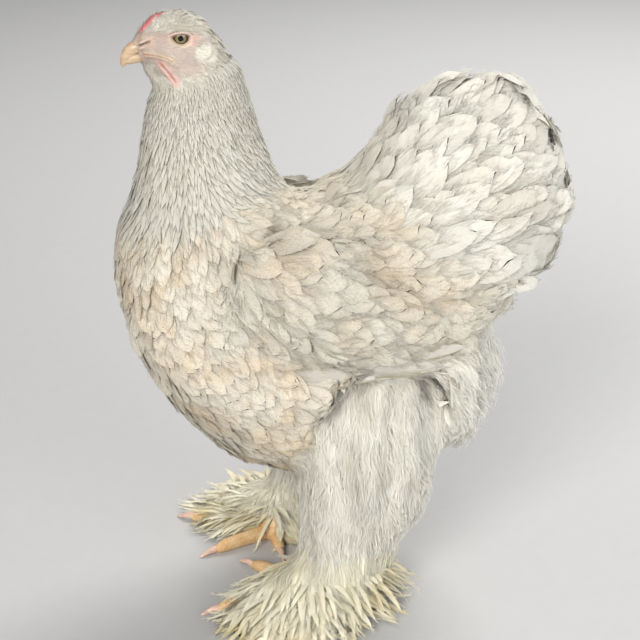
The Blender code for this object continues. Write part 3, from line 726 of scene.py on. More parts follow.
def add_feathers(made, lines, traits, skin, broad, rng):
    """Gathers feathers bent along given lines, each with loose strands at its edge."""
    template = BROAD if broad else NARROW
    rows = lines.shape[2]
    count = len(lines)
    points = vanes(lines, traits, template, rng)
    marks = marks_of(traits, 0.55, 1.25, rng)
    vane = np.broadcast_to((template[0][:, :2] + (1.0, 0.0)) * (0.5, 1.0), (count, len(template[0]), 2))
    roots = skin.places_of(lines[:, 0, 0])
    points = above_floor(points)
    own = vane_normals(points, template, rows - 1)
    row = np.round(template[0][:, 1] * (rows - 1)).astype(int)
    soft = SOFTNESS[broad]
    normals = unit(own * (1.0 - soft) + lines[:, 1][:, row] * soft)
    made.add(template, points, normals, vane, on_patch(roots, vane), marks, rows - 1)
    wanted = traits["fringe"] * FRINGES[broad]
    owner = np.repeat(np.arange(count), np.floor(wanted + rng.random(count)).astype(int))
    if not len(owner):
        return
    across, along = template[0][:, 0], template[0][:, 1]
    outer = np.flatnonzero(((np.abs(across) > 0.9) | (along > 0.99)) & (along > 0.4))
    inner = np.flatnonzero(along > 0.4)
    at_edge = rng.random(len(owner)) < 0.6
    corner = np.where(at_edge, rng.choice(outer, len(owner)), rng.choice(inner, len(owner)))
    row = np.round(along[corner] * (rows - 1)).astype(int)
    ahead, normal = lines[owner, 2, row], lines[owner, 1, row]
    side = unit(np.cross(ahead, normal))
    swing = across[corner] * rng.uniform(0.1, 0.8, len(owner)) + rng.normal(0.0, 0.15, len(owner))
    way = unit(ahead + side * swing[:, None] + normal * rng.normal(0.0, 0.16, (len(owner), 1)))
    lengths = traits["length"][owner] * rng.uniform(0.07, 0.20, len(owner)) + 2.0 * MM
    base = points[owner, corner] - way * (0.4 * lengths)[:, None]
    tip = base + way * lengths[:, None]
    middle = (base + tip) / 2 + rng.normal(0.0, 0.07, (len(owner), 3)) * lengths[:, None]
    middle += normal * (0.3 * MM)
    thick = rng.uniform(0.14, 0.24, len(owner)) * MM
    own = normals[owner, corner]
    add_spikes(made, spikes(base, middle, tip, normal, thick), own, roots[owner], marks[owner])


def traits_of(form, owners):
    """The traits of some of the form's triangles, by name."""
    return {name: form.face_traits[owners, k] for k, name in enumerate(TRAITS)}


def add_down(made, form, skin, chosen, per_mm2, stretch, puff, rng):
    """Gathers loose strands of down that lie over the chosen triangles, wavy and in locks."""
    area = areas(form) * chosen
    count = int(area.sum() / MM ** 2 * per_mm2)
    places, owner = drawn_places(form, area, count, rng)
    traits = traits_of(form, owner)
    lengths = traits["length"] * stretch * rng.uniform(0.6, 1.3, count)
    yaw = 0.30 * waves(places, 16 * MM, 5) + rng.normal(0.0, 0.16, count)
    lines = trace(form, places, owner, lengths, yaw, np.full(count, 0.85), 3, 0.0)
    base, middle, tip = lines[:, 0].transpose(1, 0, 2)
    normal = lines[:, 1, 1]
    raised = puff * rng.uniform(-0.2, 0.9, count) * (1.0 + 0.5 * waves(places, 14 * MM, 9))
    base = base - normal * (1.5 * MM)
    middle = middle + normal * raised[:, None]
    tip = tip + normal * (raised * rng.uniform(0.3, 1.9, count))[:, None]
    marks = marks_of(traits, 0.4, 1.3, rng)
    thick = rng.uniform(0.13, 0.28, count) * MM
    tilted = unit(normal + rng.normal(0.0, 0.22, (count, 3)))
    add_spikes(made, spikes(base, middle, tip, normal, thick), tilted, skin.places_of(places), marks)


def add_bristles(made, form, skin, chosen, rng):
    """Gathers the fine hair-like feathers that run back over the cheek in curved lines."""
    places, owners = scatter(form, chosen, 5.0, rng)
    count = len(places)
    lines = trace(form, places, owners, rng.uniform(3.5, 7.0, count) * MM, 0.2 * waves(places, 9 * MM, 21),
                  np.full(count, 1.0), 3, 0.3)
    base, middle, tip = lines[:, 0].transpose(1, 0, 2)
    normal = lines[:, 1, 1]
    marks = np.zeros((count, 4))
    marks[:, 3] = rng.random(count)
    raised = normal * (rng.uniform(0.45, 0.9, count) * MM)[:, None]
    thick = rng.uniform(0.10, 0.17, count) * MM
    shapes = spikes(base + 0.5 * raised, middle + raised, tip + raised, normal, thick)
    add_spikes(made, shapes, normal, skin.places_of(places), marks)


def varied_traits(form, owners, rng):
    """The traits of the feathers rooted at some triangles, varied at random."""
    traits = traits_of(form, owners)
    count = len(owners)
    traits["length"] *= rng.uniform(0.8, 1.15, count)
    traits["lift"] *= rng.uniform(0.3, 1.6, count)
    stray = (rng.random(count) < 0.05) & (traits["length"] > 55 * MM)
    traits["lift"] += stray * rng.uniform(2.0, 6.5, count) * MM
    return traits


def on_open_coat(lines):
    """Which lines keep out of the creases, where the normals tip back sharply against the way."""
    tipping = np.sum((lines[:, 1, 1:] - lines[:, 1, :-1]) * lines[:, 2, :-1], axis=2)
    return tipping.min(axis=1) > -SHARPEST_CREASE


def add_plumage(made, form, skin, places, owners, broad, rng, behind=0.45):
    """Gathers the feathers rooted near some places of the form."""
    traits = varied_traits(form, owners, rng)
    yaw = rng.normal(0.0, 0.07, len(places)) * (1.0 + 1.5 * traits["loose"])
    rows = BROAD_ROWS if broad else NARROW_ROWS
    lines = trace(form, places, owners, traits["length"], yaw, traits["cling"], rows, behind)
    kept = on_open_coat(lines)
    add_feathers(made, lines[kept], {name: values[kept] for name, values in traits.items()}, skin, broad, rng)


def above_floor(points):
    """The points with none under the floor."""
    points[..., 2] = np.maximum(points[..., 2], FLOOR_CLEAR)
    return points


class Skin(Form):
    """The skin under the coat, with its unwrap."""

    def unwrap(self, obj):
        bpy.context.view_layer.objects.active = obj
        obj.select_set(True)
        bpy.ops.object.mode_set(mode="EDIT")
        bpy.ops.mesh.select_all(action="SELECT")
        bpy.ops.uv.smart_project(angle_limit=math.radians(66.0), island_margin=0.001)
        bpy.ops.object.mode_set(mode="OBJECT")
        obj.select_set(False)
        layer = numbers(obj.data.uv_layers.active.uv, "vector", 2)
        loops = numbers(self.mesh.loop_triangles, "loops", 3, np.int32)
        self.face_uv = layer[loops].mean(axis=1)

    def places_of(self, points):
        """The unwrap's place nearest each point."""
        find = self.tree.find_nearest
        return self.face_uv[[find(point)[2] for point in points.tolist()]]


def ellipsoid(at, size, tilt=0.0, subdivisions=3):
    """A lump of flesh, turned by tilt degrees in side view."""
    bm = bmesh.new()
    bmesh.ops.create_icosphere(bm, subdivisions=subdivisions, radius=1.0)
    turn = Matrix.Rotation(math.radians(tilt), 4, "Y")
    matrix = Matrix.Translation(at) @ turn @ Matrix.Diagonal((*size, 1.0))
    bmesh.ops.transform(bm, matrix=matrix, verts=bm.verts)
    return bm


def ring_edges(ring):
    """The edges between the corners of a ring."""
    inside = set(ring)
    return list({edge for vertex in ring for edge in vertex.link_edges if edge.other_vert(vertex) in inside})


def bridge(bm, rings, closed=False):
    """Joins rings into a tube, which closes on itself or has its ends filled."""
    pairs = list(zip(rings, rings[1:], strict=False))
    if closed:
        pairs.append((rings[-1], rings[0]))
    for first, second in pairs:
        bmesh.ops.bridge_loops(bm, edges=first + second)
    if not closed:
        for ring in (rings[0], rings[-1]):
            bmesh.ops.edgeloop_fill(bm, edges=ring)
    bmesh.ops.recalc_face_normals(bm, faces=bm.faces)


def cord_through(points, radii, closed=False, sides=8):
    """A fold of flesh: a tube through points."""
    bm = bmesh.new()
    rings = []
    last = len(points) - 1
    for i, point in enumerate(points):
        after = points[(i + 1) % len(points)] if closed else points[min(i + 1, last)]
        before = points[i - 1] if closed else points[max(i - 1, 0)]
        turn = (after - before).to_track_quat("Z", "Y").to_matrix().to_4x4()
        matrix = Matrix.Translation(point) @ turn @ Matrix.Scale(radii[i], 4)
        ring = bmesh.ops.create_circle(bm, segments=sides, radius=1.0, matrix=matrix)["verts"]
        rings.append(ring_edges(ring))
    bridge(bm, rings, closed)
    return bm


# Where flesh fills out the forehead, the root of the bill, the chin, the throat and the cheeks: the middle's
# x and z, then half sizes, in mm.
FILLING = [
    ((-159.6, 488.4), (8.2, 7.6, 7.0)), ((-153.1, 494.6), (8.5, 9.5, 8.5)),
    ((-147.2, 500.3), (9.4, 10.5, 9.4)), ((-141.5, 501.3), (11.0, 12.5, 10.6)),
    ((-160.8, 487.2), (8.6, 8.2, 5.6)), ((-156.8, 474.2), (6.0, 6.8, 5.4)),
    ((-152.4, 466.9), (8.4, 9.5, 8.4)), ((-147.8, 459.8), (9.4, 12.0, 9.4)),
    ((-143.9, 446.0), (11.0, 15.0, 12.0)), ((-139.0, 468.5), (15.0, 17.3, 14.0)),
    ((-113.0, 479.0), (20.0, 20.8, 15.5)), ((-114.5, 473.0), (16.0, 21.4, 14.0))]
BROW_AT = (-0.1330, 0.0130, 0.4995)
BROW_SIZE = (11.0 * MM, 4.2 * MM, 3.6 * MM)
NECK_CUT = 0.432        # how far down the face takes in the neck
LID_STEPS = 28
COMB_KNOBS = 64


def face_folds(sign, base):
    """The soft shapes of one side of the face."""
    def placed(x, y, z):
        return Vector((x, sign * y, z))

    def on_side(x, z, out=0.0):
        """The place of the face's side at x and z, out further by some distance."""
        hit = base.tree.ray_cast(Vector((x, sign * 0.06, z)), Vector((0.0, -sign, 0.0)))[0]
        return hit + Vector((0.0, sign * out, 0.0))

    shapes = []
    ring = []
    for i in range(LID_STEPS):
        angle = math.tau * i / LID_STEPS
        across = EYE_CORNERS[0 if math.cos(angle) < 0 else 1] * 1.05 * math.cos(angle)
        pinch = 1.35 if math.cos(angle) < 0 else 1.0
        rise = math.copysign(abs(math.sin(angle)) ** pinch, math.sin(angle))
        up = EYE_LIDS[0 if rise > 0 else 1] * 1.05 * rise
        out = math.sqrt(max(EYE_RADIUS ** 2 - across ** 2 - up ** 2, 4 * MM ** 2))
        ring.append(placed(EYE_AT.x + across, EYE_AT.y + out + 0.15 * MM, EYE_AT.z + up))
    lid = [(1.25 if i < LID_STEPS // 2 else 0.9) * MM for i in range(LID_STEPS)]
    shapes.append(cord_through(ring, lid, closed=True))
    away = Vector((0, sign * 0.1 * MM, 0))
    outer = [point + (point - placed(EYE_AT.x, point.y * sign, EYE_AT.z)) * 0.30 + away for point in ring]
    shapes.append(cord_through(outer, [1.0 * MM] * LID_STEPS, closed=True))
    for lower in (0.0, 1.9):
        rim = [on_side(x, z - lower * MM + 0.9 * MM, 0.1 * MM) for x, _, z in MOUTH]
        if lower:
            rim[-1] += Vector((-0.8 * MM, 0.0, 0.6 * MM))
        shapes.append(cord_through(rim, [thick * MM for thick in (1.0, 1.3, 1.2, 1.1, 0.8)]))
    upper_lip = on_side(-0.1593, 0.4905, -1.2 * MM)
    lower_lip = on_side(-0.1585, 0.4866, -1.2 * MM)
    shapes.append(ellipsoid(upper_lip, (5.4 * MM, 2.2 * MM, 1.5 * MM), -23.0))
    shapes.append(ellipsoid(lower_lip, (6.0 * MM, 1.6 * MM, 1.9 * MM), -18.0))
    return shapes


def comb_knobs(base):
    """A small pea comb, pebbly, low on the forehead, parted by small feathers."""
    shapes = []
    rng = np.random.default_rng(31)
    for _ in range(COMB_KNOBS):
        at = COMB_FROM.lerp(COMB_TO, rng.random())
        aside = rng.choice((-1.0, 1.0)) * rng.uniform(0.35, 1.0)
        size = rng.uniform(0.8, 1.3) * MM
        start = at + Vector((-8.0, 0.0, 8.0)) * MM
        start.y = aside * 5.6 * MM
        place = base.tree.ray_cast(start, Vector((1.0, 0.0, -1.0)).normalized())[0]
        shapes.append(ellipsoid(place, (size, size, size * 0.9), 0.0, 2))
    return shapes


def face_form():
    """The bare head under its feathers: the head's own shape, and the folds added to it."""
    neck_top = copy_of("neck")
    whole = neck_top.verts[:] + neck_top.edges[:] + neck_top.faces[:]
    cut = bmesh.ops.bisect_plane(
        neck_top, geom=whole, plane_co=(0.0, 0.0, NECK_CUT), plane_no=(0.0, 0.0, -1.0), clear_outer=True)
    rim = [item for item in cut["geom_cut"] if isinstance(item, bmesh.types.BMEdge)]
    bmesh.ops.triangle_fill(neck_top, use_beauty=True, edges=rim)
    shapes = [copy_of("head"), neck_top]
    for sign in SIDES.values():
        shapes.append(ellipsoid((EYE_AT.x, sign * (EYE_AT.y - 1.0 * MM), EYE_AT.z), (7.4 * MM,) * 3))
        shapes.append(ellipsoid((BROW_AT[0], sign * BROW_AT[1], BROW_AT[2]), BROW_SIZE, 5.0))
    for (x, z), size in FILLING:
        shapes.append(ellipsoid((x * MM, 0.0, z * MM), [half * MM for half in size]))
    base = Form(fused("head_base", shapes, 1.0 * MM, 22))
    near = folded(base.points)
    hollow = smooth(1.25, 0.95, eye_reach(near)) * smooth(0.008, 0.013, near[:, 1])
    loss = -1.2 * MM + 0.6 * MM * bare_cheek(base.points) - 2.6 * MM * hollow
    base.move(loss)
    shapes = [opened(base.mesh), *comb_knobs(base)]
    for sign in SIDES.values():
        shapes += face_folds(sign, base)
    form = Form(fused("face", shapes, FACE_VOXEL, 2))
    near = folded(form.points)
    slit = beside(near, *NOSTRIL) + 9.0 * MM * (near[:, 1] < 4 * MM)
    away = np.linalg.norm(near - np.array((-0.140, 0.012, 0.485)), axis=1)
    reach = lobe_reach(near)
    front = smooth(LOBE_AT.x + 3 * MM, LOBE_AT.x - 3 * MM, near[:, 0])
    lobe = (1.0 - front) * smooth(1.12, 0.55, reach) + front * smooth(1.45, 0.25, reach)
    lobe = lobe * smooth(0.012, 0.015, near[:, 1])
    level = Vector((1.0, 0.0, 1.0))
    middle, share = to_line(near * (1.0, 0.0, 1.0), WATTLE_FROM * level, WATTLE_TO * level)
    ends = np.sqrt(np.sin(np.clip(share, 0.0, 1.0) * math.pi).clip(0.0)) * smooth(0.006, 0.009, near[:, 1])
    ridge = np.exp(-((middle / MM - 1.7) / 0.8) ** 2) * (0.75 + 0.25 * np.sin(share * 26.0))
    form.move(1.7 * MM * lobe + ends * MM * (1.2 * ridge - 0.8 * smooth(1.0 * MM, 0.3 * MM, middle)))
    form.move(-1.1 * MM * smooth(1.1 * MM, 0.3 * MM, slit) - 3.2 * MM * smooth(0.030, 0.055, away)
              - 4.0 * MM * smooth(0.050, 0.058, away))
    return form


# The bare skin's colours.
UNDER_PLUMAGE = (0.60, 0.57, 0.49, 1.0)
CHEEK_PINK = (0.565, 0.44, 0.375)
FLUSHED = (0.74, 0.34, 0.28)
WATTLE_PINK = (0.69, 0.44, 0.38)
WATTLE_CREASE_SHADE = (0.50, 0.20, 0.16)
COMB_RED = (0.68, 0.19, 0.20)
LOBE_PALE = (0.685, 0.64, 0.545)
CERE_TAN = (0.70, 0.52, 0.38)
LIP_YELLOW = (0.72, 0.55, 0.36)
MOUTH_GROOVE_SHADE = (0.30, 0.15, 0.08)
NOSTRIL_SHADE = (0.16, 0.07, 0.04)
EAR_GREY = (0.46, 0.44, 0.43)
EYE_RING = (0.78, 0.58, 0.46)
LOWER_LID = (0.62, 0.49, 0.33)
LID_EDGE = (0.16, 0.09, 0.06)


def face_colours(points):
    """The bare skin's colour at each point of the body."""
    near = folded(points)       # so that one side's places serve both
    found = np.empty((len(points), 4))
    found[:] = UNDER_PLUMAGE
    # Painted shade: the skin is darkened from the lower neck down, where it lies deep in the coat's shadow.
    found[:, :3] *= 0.65 + 0.35 * smooth(0.40, 0.45, points[:, 2:])

    def paint(share, colour):
        found[:, :3] += (np.array(colour) - found[:, :3]) * np.clip(share, 0.0, 1.0)[:, None]

    face = smooth(0.046, 0.030, np.linalg.norm(near - np.array((-0.142, 0.014, 0.484)), axis=1))
    paint(face * bare_cheek(points), CHEEK_PINK)
    behind_eye, _ = to_line(near, (-0.1245, 0.018, 0.4900), (-0.1205, 0.019, 0.4930))
    paint(0.6 * smooth(5.0 * MM, 1.5 * MM, behind_eye), FLUSHED)
    fold = beside(near, WATTLE_FROM, WATTLE_TO)
    paint(0.8 * smooth(5.5 * MM, 2.0 * MM, fold), WATTLE_PINK)
    # Painted shade in the crease between the wattle's two ridges.
    paint(0.7 * smooth(1.1 * MM, 0.4 * MM, fold), WATTLE_CREASE_SHADE)
    comb, _ = to_line(near, COMB_FROM, COMB_TO)
    paint(smooth(6.8 * MM, 5.6 * MM, comb), COMB_RED)
    paint(smooth(1.25, 0.98, lobe_reach(near)) * smooth(0.014, 0.017, near[:, 1]), LOBE_PALE)
    cere = beside(near, *NOSTRIL)
    paint(0.6 * smooth(6.0 * MM, 3.0 * MM, cere), CERE_TAN)
    rims = [beside(near, start, end) for start, end in zip(MOUTH, MOUTH[1:], strict=False)]
    lips = np.min(rims, axis=0)
    paint(0.7 * smooth(3.0 * MM, 1.4 * MM, lips), LIP_YELLOW)
    # Painted shade in the groove between the lips.
    paint(0.8 * smooth(0.7 * MM, 0.25 * MM, lips), MOUTH_GROOVE_SHADE)
    # Painted shade inside the nostril's slit.
    paint(smooth(1.1 * MM, 0.5 * MM, cere) * (near[:, 1] > 4 * MM), NOSTRIL_SHADE)
    below_ear = np.linalg.norm(near - np.array((-0.1225, 0.0195, 0.4765)), axis=1)
    paint(0.45 * smooth(9.0 * MM, 2.5 * MM, below_ear), EAR_GREY)
    reach = eye_reach(near)
    at_eye = smooth(0.010, 0.014, near[:, 1])
    lower = smooth(EYE_AT.z + 2 * MM, EYE_AT.z - 2 * MM, near[:, 2])
    paint(0.6 * at_eye * smooth(1.75, 1.30, reach), EYE_RING)
    paint(at_eye * smooth(1.42, 1.22, reach) * lower, LOWER_LID)
    paint(at_eye * smooth(1.24, 1.08, reach) * (1.0 - 0.5 * lower), LID_EDGE)
    return found


def toe_way(toe, pad):
    """A toe's level direction from the foot's pad, and how far it reaches."""
    points = node_points(toe)
    ahead = unit((points.mean(axis=0) - pad) * (1.0, 1.0, 0.0))
    return ahead, np.max((points - pad) @ ahead)


def leg_form(side):
    """A foot's scaled skin, with scutes over its toes and shank."""
    shapes = [copy_of(part + "_" + side) for part in LEG]
    form = Form(fused("leg", shapes, LEG_VOXEL, 4))
    points = form.points
    pad = FOOT_CENTRES[side]
    push = np.zeros(len(points))
    share = np.full(len(points), 1.0)
    for part in LEG[1:]:
        ahead, reach = toe_way(part + "_" + side, pad)
        distance, _ = to_line(points, pad + ahead * 8 * MM, pad + ahead * reach)
        mine = distance < share
        share = np.where(mine, distance, share)
        run = ((points - pad) @ ahead) / TOE_SCUTE
        ridge = np.abs(run % 1.0 - 0.5) * 2.0
        scute = (1.0 - ridge ** 4) * smooth(-0.1, 0.55, form.normals[:, 2])
        push = np.where(mine, scute, push)
    shank = points[:, 2] > TOES_TOP
    rise = np.abs((points[:, 2] / SHANK_SCUTE) % 1.0 - 0.5) * 2.0
    push = np.where(shank, 1.0 - rise ** 4, push)
    form.move(0.45 * MM * push - 0.1 * MM)
    above = form.points.copy()
    above[:, 2] = np.maximum(above[:, 2], 0.02 * MM)
    form.mesh.vertices.foreach_set("co", above.ravel())
    return form


def bill_half(name, rows, upper):
    """One half of the bill, root to tip. Rows: x, z of the middle, half height, half width."""
    bm = bmesh.new()
    rings = []
    for i, (x, z, half_height, half_width) in enumerate(rows):
        before, after = rows[max(i - 1, 0)], rows[min(i + 1, len(rows) - 1)]
        ahead = Vector((after[0] - before[0], 0.0, after[1] - before[1])).normalized()
        up = Vector((-ahead.z, 0.0, ahead.x)) * -1.0
        ring = bmesh.ops.create_circle(bm, segments=BILL_SIDES, radius=1.0)["verts"]
        for vertex in ring:
            across, rise = vertex.co.x, vertex.co.y
            if (rise > 0) == upper:
                width = abs(across) ** (0.62 + 0.30 * i / len(rows)) * (1.0 - 0.16 * abs(rise))
                height = rise
            else:
                width = abs(across) ** 0.45
                height = rise * (0.92 if upper else 0.80)
            aside = math.copysign(width, across) * half_width
            vertex.co = Vector((x, aside, z)) + up * (height * half_height)
        rings.append(ring_edges(ring))
    bridge(bm, rings)
    obj = piece_of(name, bm)
    finer = obj.modifiers.new("finer", "SUBSURF")
    finer.levels = finer.render_levels = 2
    return obj


BILL_SIDES = 28
UPPER_BILL = [
    (-0.1480, 0.4850, 0.0046, 0.0060), (-0.1550, 0.4854, 0.0048, 0.0064), (-0.1605, 0.4853, 0.0050, 0.0067),
    (-0.1665, 0.4840, 0.0052, 0.0062), (-0.1710, 0.4809, 0.0049, 0.0048), (-0.1740, 0.4762, 0.0040, 0.0034),
    (-0.1755, 0.4720, 0.0026, 0.0022), (-0.1763, 0.4684, 0.0012, 0.0011)]
LOWER_BILL = [
    (-0.1480, 0.4768, 0.0042, 0.0072), (-0.1550, 0.4769, 0.0044, 0.0071), (-0.1605, 0.4767, 0.0045, 0.0066),
    (-0.1655, 0.4760, 0.0045, 0.0057), (-0.1698, 0.4746, 0.0040, 0.0045), (-0.1730, 0.4729, 0.0027, 0.0029),
    (-0.1745, 0.4720, 0.0012, 0.0014)]


def eyeball(name, sign):
    """The eye: a ball with the clear bulge of its cornea on the outer side."""
    bm = bmesh.new()
    bmesh.ops.create_uvsphere(bm, u_segments=48, v_segments=32, radius=EYE_RADIUS)
    facing = Vector((-0.10, sign * 1.0, -0.02)).normalized()
    bmesh.ops.transform(bm, matrix=facing.to_track_quat("Z", "Y").to_matrix().to_4x4(), verts=bm.verts)
    for vertex in bm.verts:
        toward = vertex.co.normalized().dot(facing)
        vertex.co += facing * (0.35 * MM * float(smooth(0.72, 1.0, toward)))
        over, under = smooth(4.2 * MM, 5.8 * MM, vertex.co.z), smooth(6.0 * MM, 7.8 * MM, -vertex.co.z)
        vertex.co.y *= 1.0 - 0.8 * max(float(over), float(under))
    bmesh.ops.translate(bm, vec=(EYE_AT.x, sign * EYE_AT.y, EYE_AT.z), verts=bm.verts)
    return piece_of(name, bm), facing


CLAW_STEPS = 8


def claw(name, node):
    """A claw that curves down to the floor from the end of its toe."""
    points = node_points(node)
    toe = node_points(node.replace("claw", "toe")).mean(axis=0)
    middle = points.mean(axis=0)
    ahead = unit((middle - toe) * (1.0, 1.0, 0.0))
    reach = (points - middle) @ ahead
    start = Vector(middle + ahead * (reach.min() - 2.2 * MM))
    run = reach.max() - reach.min() + 2.2 * MM
    ahead = Vector(ahead)
    spots, radii = [], []
    for i in range(CLAW_STEPS + 1):
        t = i / CLAW_STEPS
        radius = 3.0 * MM * (1.0 - t) ** 0.62 + 0.35 * MM
        height = radius + 2.3 * MM * math.sin(math.pi * min(1.0, t * 1.15)) * (1.0 - t)
        spots.append(Vector((*(start + ahead * (run * t)).xy, height)))
        radii.append(radius)
    bm = cord_through(spots, radii, sides=14)
    for vertex in bm.verts:
        vertex.co.z = max(vertex.co.z, 0.05 * MM)
    return piece_of(name, bm)


class Bench:
    """The nodes of one tree, added and wired in order."""

    def __init__(self, tree):
        self.tree = tree

    def feed(self, node, inputs):
        """Wires each input that is given a socket, and sets each that is given a value."""
        for key, value in inputs.items():
            if isinstance(value, bpy.types.NodeSocket):
                self.tree.links.new(value, node.inputs[key])
            else:
                node.inputs[key].default_value = value

    def add(self, kind, inputs=None, **settings):
        made = self.tree.nodes.new(kind)
        for key, value in settings.items():
            setattr(made, key, value)
        self.feed(made, inputs or {})
        return made

    def math(self, operation, first, second=0.0):
        return self.add("ShaderNodeMath", {0: first, 1: second}, operation=operation).outputs[0]

    def plus(self, first, second):
        return self.math("ADD", first, second)

    def minus(self, first, second):
        return self.math("SUBTRACT", first, second)

    def times(self, first, second):
        return self.math("MULTIPLY", first, second)

    def mix(self, share, first, second, blend="MIX"):
        return self.add("ShaderNodeMix", {0: share, 6: first, 7: second}, data_type="RGBA", blend_type=blend,
                        clamp_factor=True).outputs[2]

    def vector(self, x, y, z):
        return self.add("ShaderNodeCombineXYZ", {0: x, 1: y, 2: z}).outputs[0]

    def dimmed(self, colour, red, green, blue):
        """A colour with its red, green and blue each multiplied."""
        shares = self.add("ShaderNodeCombineColor", {0: red, 1: green, 2: blue}).outputs[0]
        return self.mix(1.0, colour, shares, "MULTIPLY")

    def between(self, value, low, high, start=0.0, end=1.0):
        return self.add("ShaderNodeMapRange", {0: value, 1: low, 2: high, 3: start, 4: end},
                        interpolation_type="SMOOTHSTEP").outputs[0]

    def noise(self, vector, scale, detail=3.0, rough=0.55):
        return self.add("ShaderNodeTexNoise", {
            "Vector": vector, "Scale": scale, "Detail": detail, "Roughness": rough}).outputs[0]

    def place(self):
        """The point's place on the piece."""
        return self.add("ShaderNodeTexCoord").outputs["Object"]


def group(name, inputs, outputs):
    """A shader group with named sockets: its bench, its input node and its output node."""
    tree = bpy.data.node_groups.new(name, "ShaderNodeTree")
    for label, kind in inputs:
        tree.interface.new_socket(label, in_out="INPUT", socket_type=kind)
    for label, kind in outputs:
        tree.interface.new_socket(label, in_out="OUTPUT", socket_type=kind)
    bench = Bench(tree)
    return bench, bench.add("NodeGroupInput"), bench.add("NodeGroupOutput")


COLOUR, VALUE, VECTOR = "NodeSocketColor", "NodeSocketFloat", "NodeSocketVector"
PENCIL_BROWN = (0.30, 0.21, 0.12, 1.0)


def barb_group():
    """A vane's barbs: fine streaks from the shaft to the edge, and how deep they lie."""
    bench, given, put = group("vane barbs", [("Vane", VECTOR), ("Chance", VALUE), ("Count", VALUE)],
                              [("Streak", VALUE), ("Height", VALUE), ("Across", VALUE), ("Along", VALUE)])
    apart = bench.add("ShaderNodeSeparateXYZ", {0: given.outputs["Vane"]})
    side = bench.minus(bench.times(apart.outputs[0], 2.0), 1.0)
    across = bench.math("ABSOLUTE", side)
    along = apart.outputs[1]
    slant = bench.minus(along, bench.times(bench.math("POWER", across, 0.8), 0.22))
    shift = bench.times(given.outputs["Chance"], 37.0)
    lengthwise = bench.times(slant, given.outputs["Count"])
    streak = bench.noise(bench.vector(bench.plus(side, shift), lengthwise, shift), 1.0, 4.0, 0.7)
    coarse = bench.vector(bench.plus(bench.times(side, 0.5), shift), bench.times(lengthwise, 0.22), shift)
    clump = bench.noise(coarse, 1.0, 2.0)
    both = bench.plus(bench.times(streak, 0.6), bench.times(clump, 0.4))
    shaft = bench.between(across, 0.10, 0.0)
    height = bench.plus(both, bench.times(shaft, 0.35))
    bench.feed(put, {"Streak": both, "Height": height, "Across": across, "Along": along})
    return bench.tree


def marking_group():
    """The plumage's colour: white to cream, its grey edging, buff wash, fine pepper and pencilling, and
    painted shade in its grooves and towards its root.
    """
    bench, given, put = group(
        "plumage markings",
        [("Marking", COLOUR), ("Chance", VALUE), ("Across", VALUE), ("Along", VALUE), ("Streak", VALUE),
         ("Place", VECTOR), ("White", COLOUR), ("Edging", COLOUR), ("Buff", COLOUR), ("Shade", VALUE)],
        [("Color", COLOUR)])
    marks = bench.add("ShaderNodeSeparateColor", {0: given.outputs["Marking"]})
    grey, buff, pepper = marks.outputs
    across, along, streak, place, shade = (
        given.outputs[name] for name in ("Across", "Along", "Streak", "Place", "Shade"))
    wander = bench.noise(place, 22.0, 3.0)
    wash = bench.times(buff, bench.between(wander, 0.38, 0.68, 0.05, 0.85))
    colour = bench.mix(wash, given.outputs["White"], given.outputs["Buff"])
    brightness = bench.between(given.outputs["Chance"], 0.0, 1.0, 0.93, 1.03)
    colour = bench.dimmed(colour, brightness, brightness, brightness)
    rim = bench.between(bench.plus(across, bench.times(streak, 0.45)), 0.78, 1.12)
    tip = bench.between(along, 0.35, 0.65)
    line = bench.times(bench.times(rim, tip), bench.times(grey, 0.75))
    colour = bench.mix(line, colour, given.outputs["Edging"])
    down = bench.math("DIVIDE", bench.minus(along, 0.35), 0.65)
    ring = bench.math("SQRT", bench.plus(bench.times(across, across), bench.times(down, down)))
    rings = bench.math("SINE", bench.plus(bench.times(ring, 52.0), bench.times(streak, 14.0)))
    pencil = bench.times(bench.between(rings, 0.1, 0.95), bench.between(wander, 0.35, 0.7, 0.2, 1.0))
    speck = bench.between(bench.noise(place, 700.0, 2.0, 0.7), 0.52, 0.70)
    fleck = bench.times(bench.plus(bench.times(pencil, 0.22), bench.times(speck, 0.42)), pepper)
    colour = bench.mix(fleck, colour, PENCIL_BROWN)
    # Painted shade: darker, down to Shade, in the low grooves between barb streaks and towards the root,
    # where a feather lies under those before it; near the root it is partly the feather's greyer under-colour
    # too.
    dark = bench.between(streak, 0.28, 0.62, shade, 1.0)
    root = bench.between(along, 0.30, 0.85, shade, 1.0)
    shade_and_undercolour = bench.times(dark, root)
    colour = bench.dimmed(colour, shade_and_undercolour, shade_and_undercolour, shade_and_undercolour)
    bench.feed(put, {"Color": colour})
    return bench.tree


def wrinkle_group():
    """Bare skin's fine relief: small pebbles and creases."""
    bench, given, put = group("skin relief", [("Place", VECTOR), ("Size", VALUE)],
                              [("Height", VALUE), ("Mottle", VALUE)])
    place, size = given.outputs["Place"], given.outputs["Size"]
    cells = bench.add("ShaderNodeTexVoronoi", {"Vector": place, "Scale": size})
    fine = bench.noise(place, size, 4.0)
    height = bench.plus(bench.times(cells.outputs["Distance"], -0.8), fine)
    coarse = bench.noise(place, 90.0, 3.0)
    bench.feed(put, {"Height": height, "Mottle": coarse})
    return bench.tree


def new_material(name):
    made = bpy.data.materials.new(name)
    made.use_nodes = True
    bench = Bench(made.node_tree)
    return made, bench, made.node_tree.nodes["Principled BSDF"]


def join(bench, shader, colour, height, strength, distance, rough):
    """Wires a colour, a relief and a roughness into the material's shader."""
    bench.feed(shader, {"Base Color": colour})
    bump = bench.add("ShaderNodeBump", {"Height": height, "Strength": strength, "Distance": distance})
    bench.feed(shader, {"Normal": bump.outputs[0], "Roughness": rough})


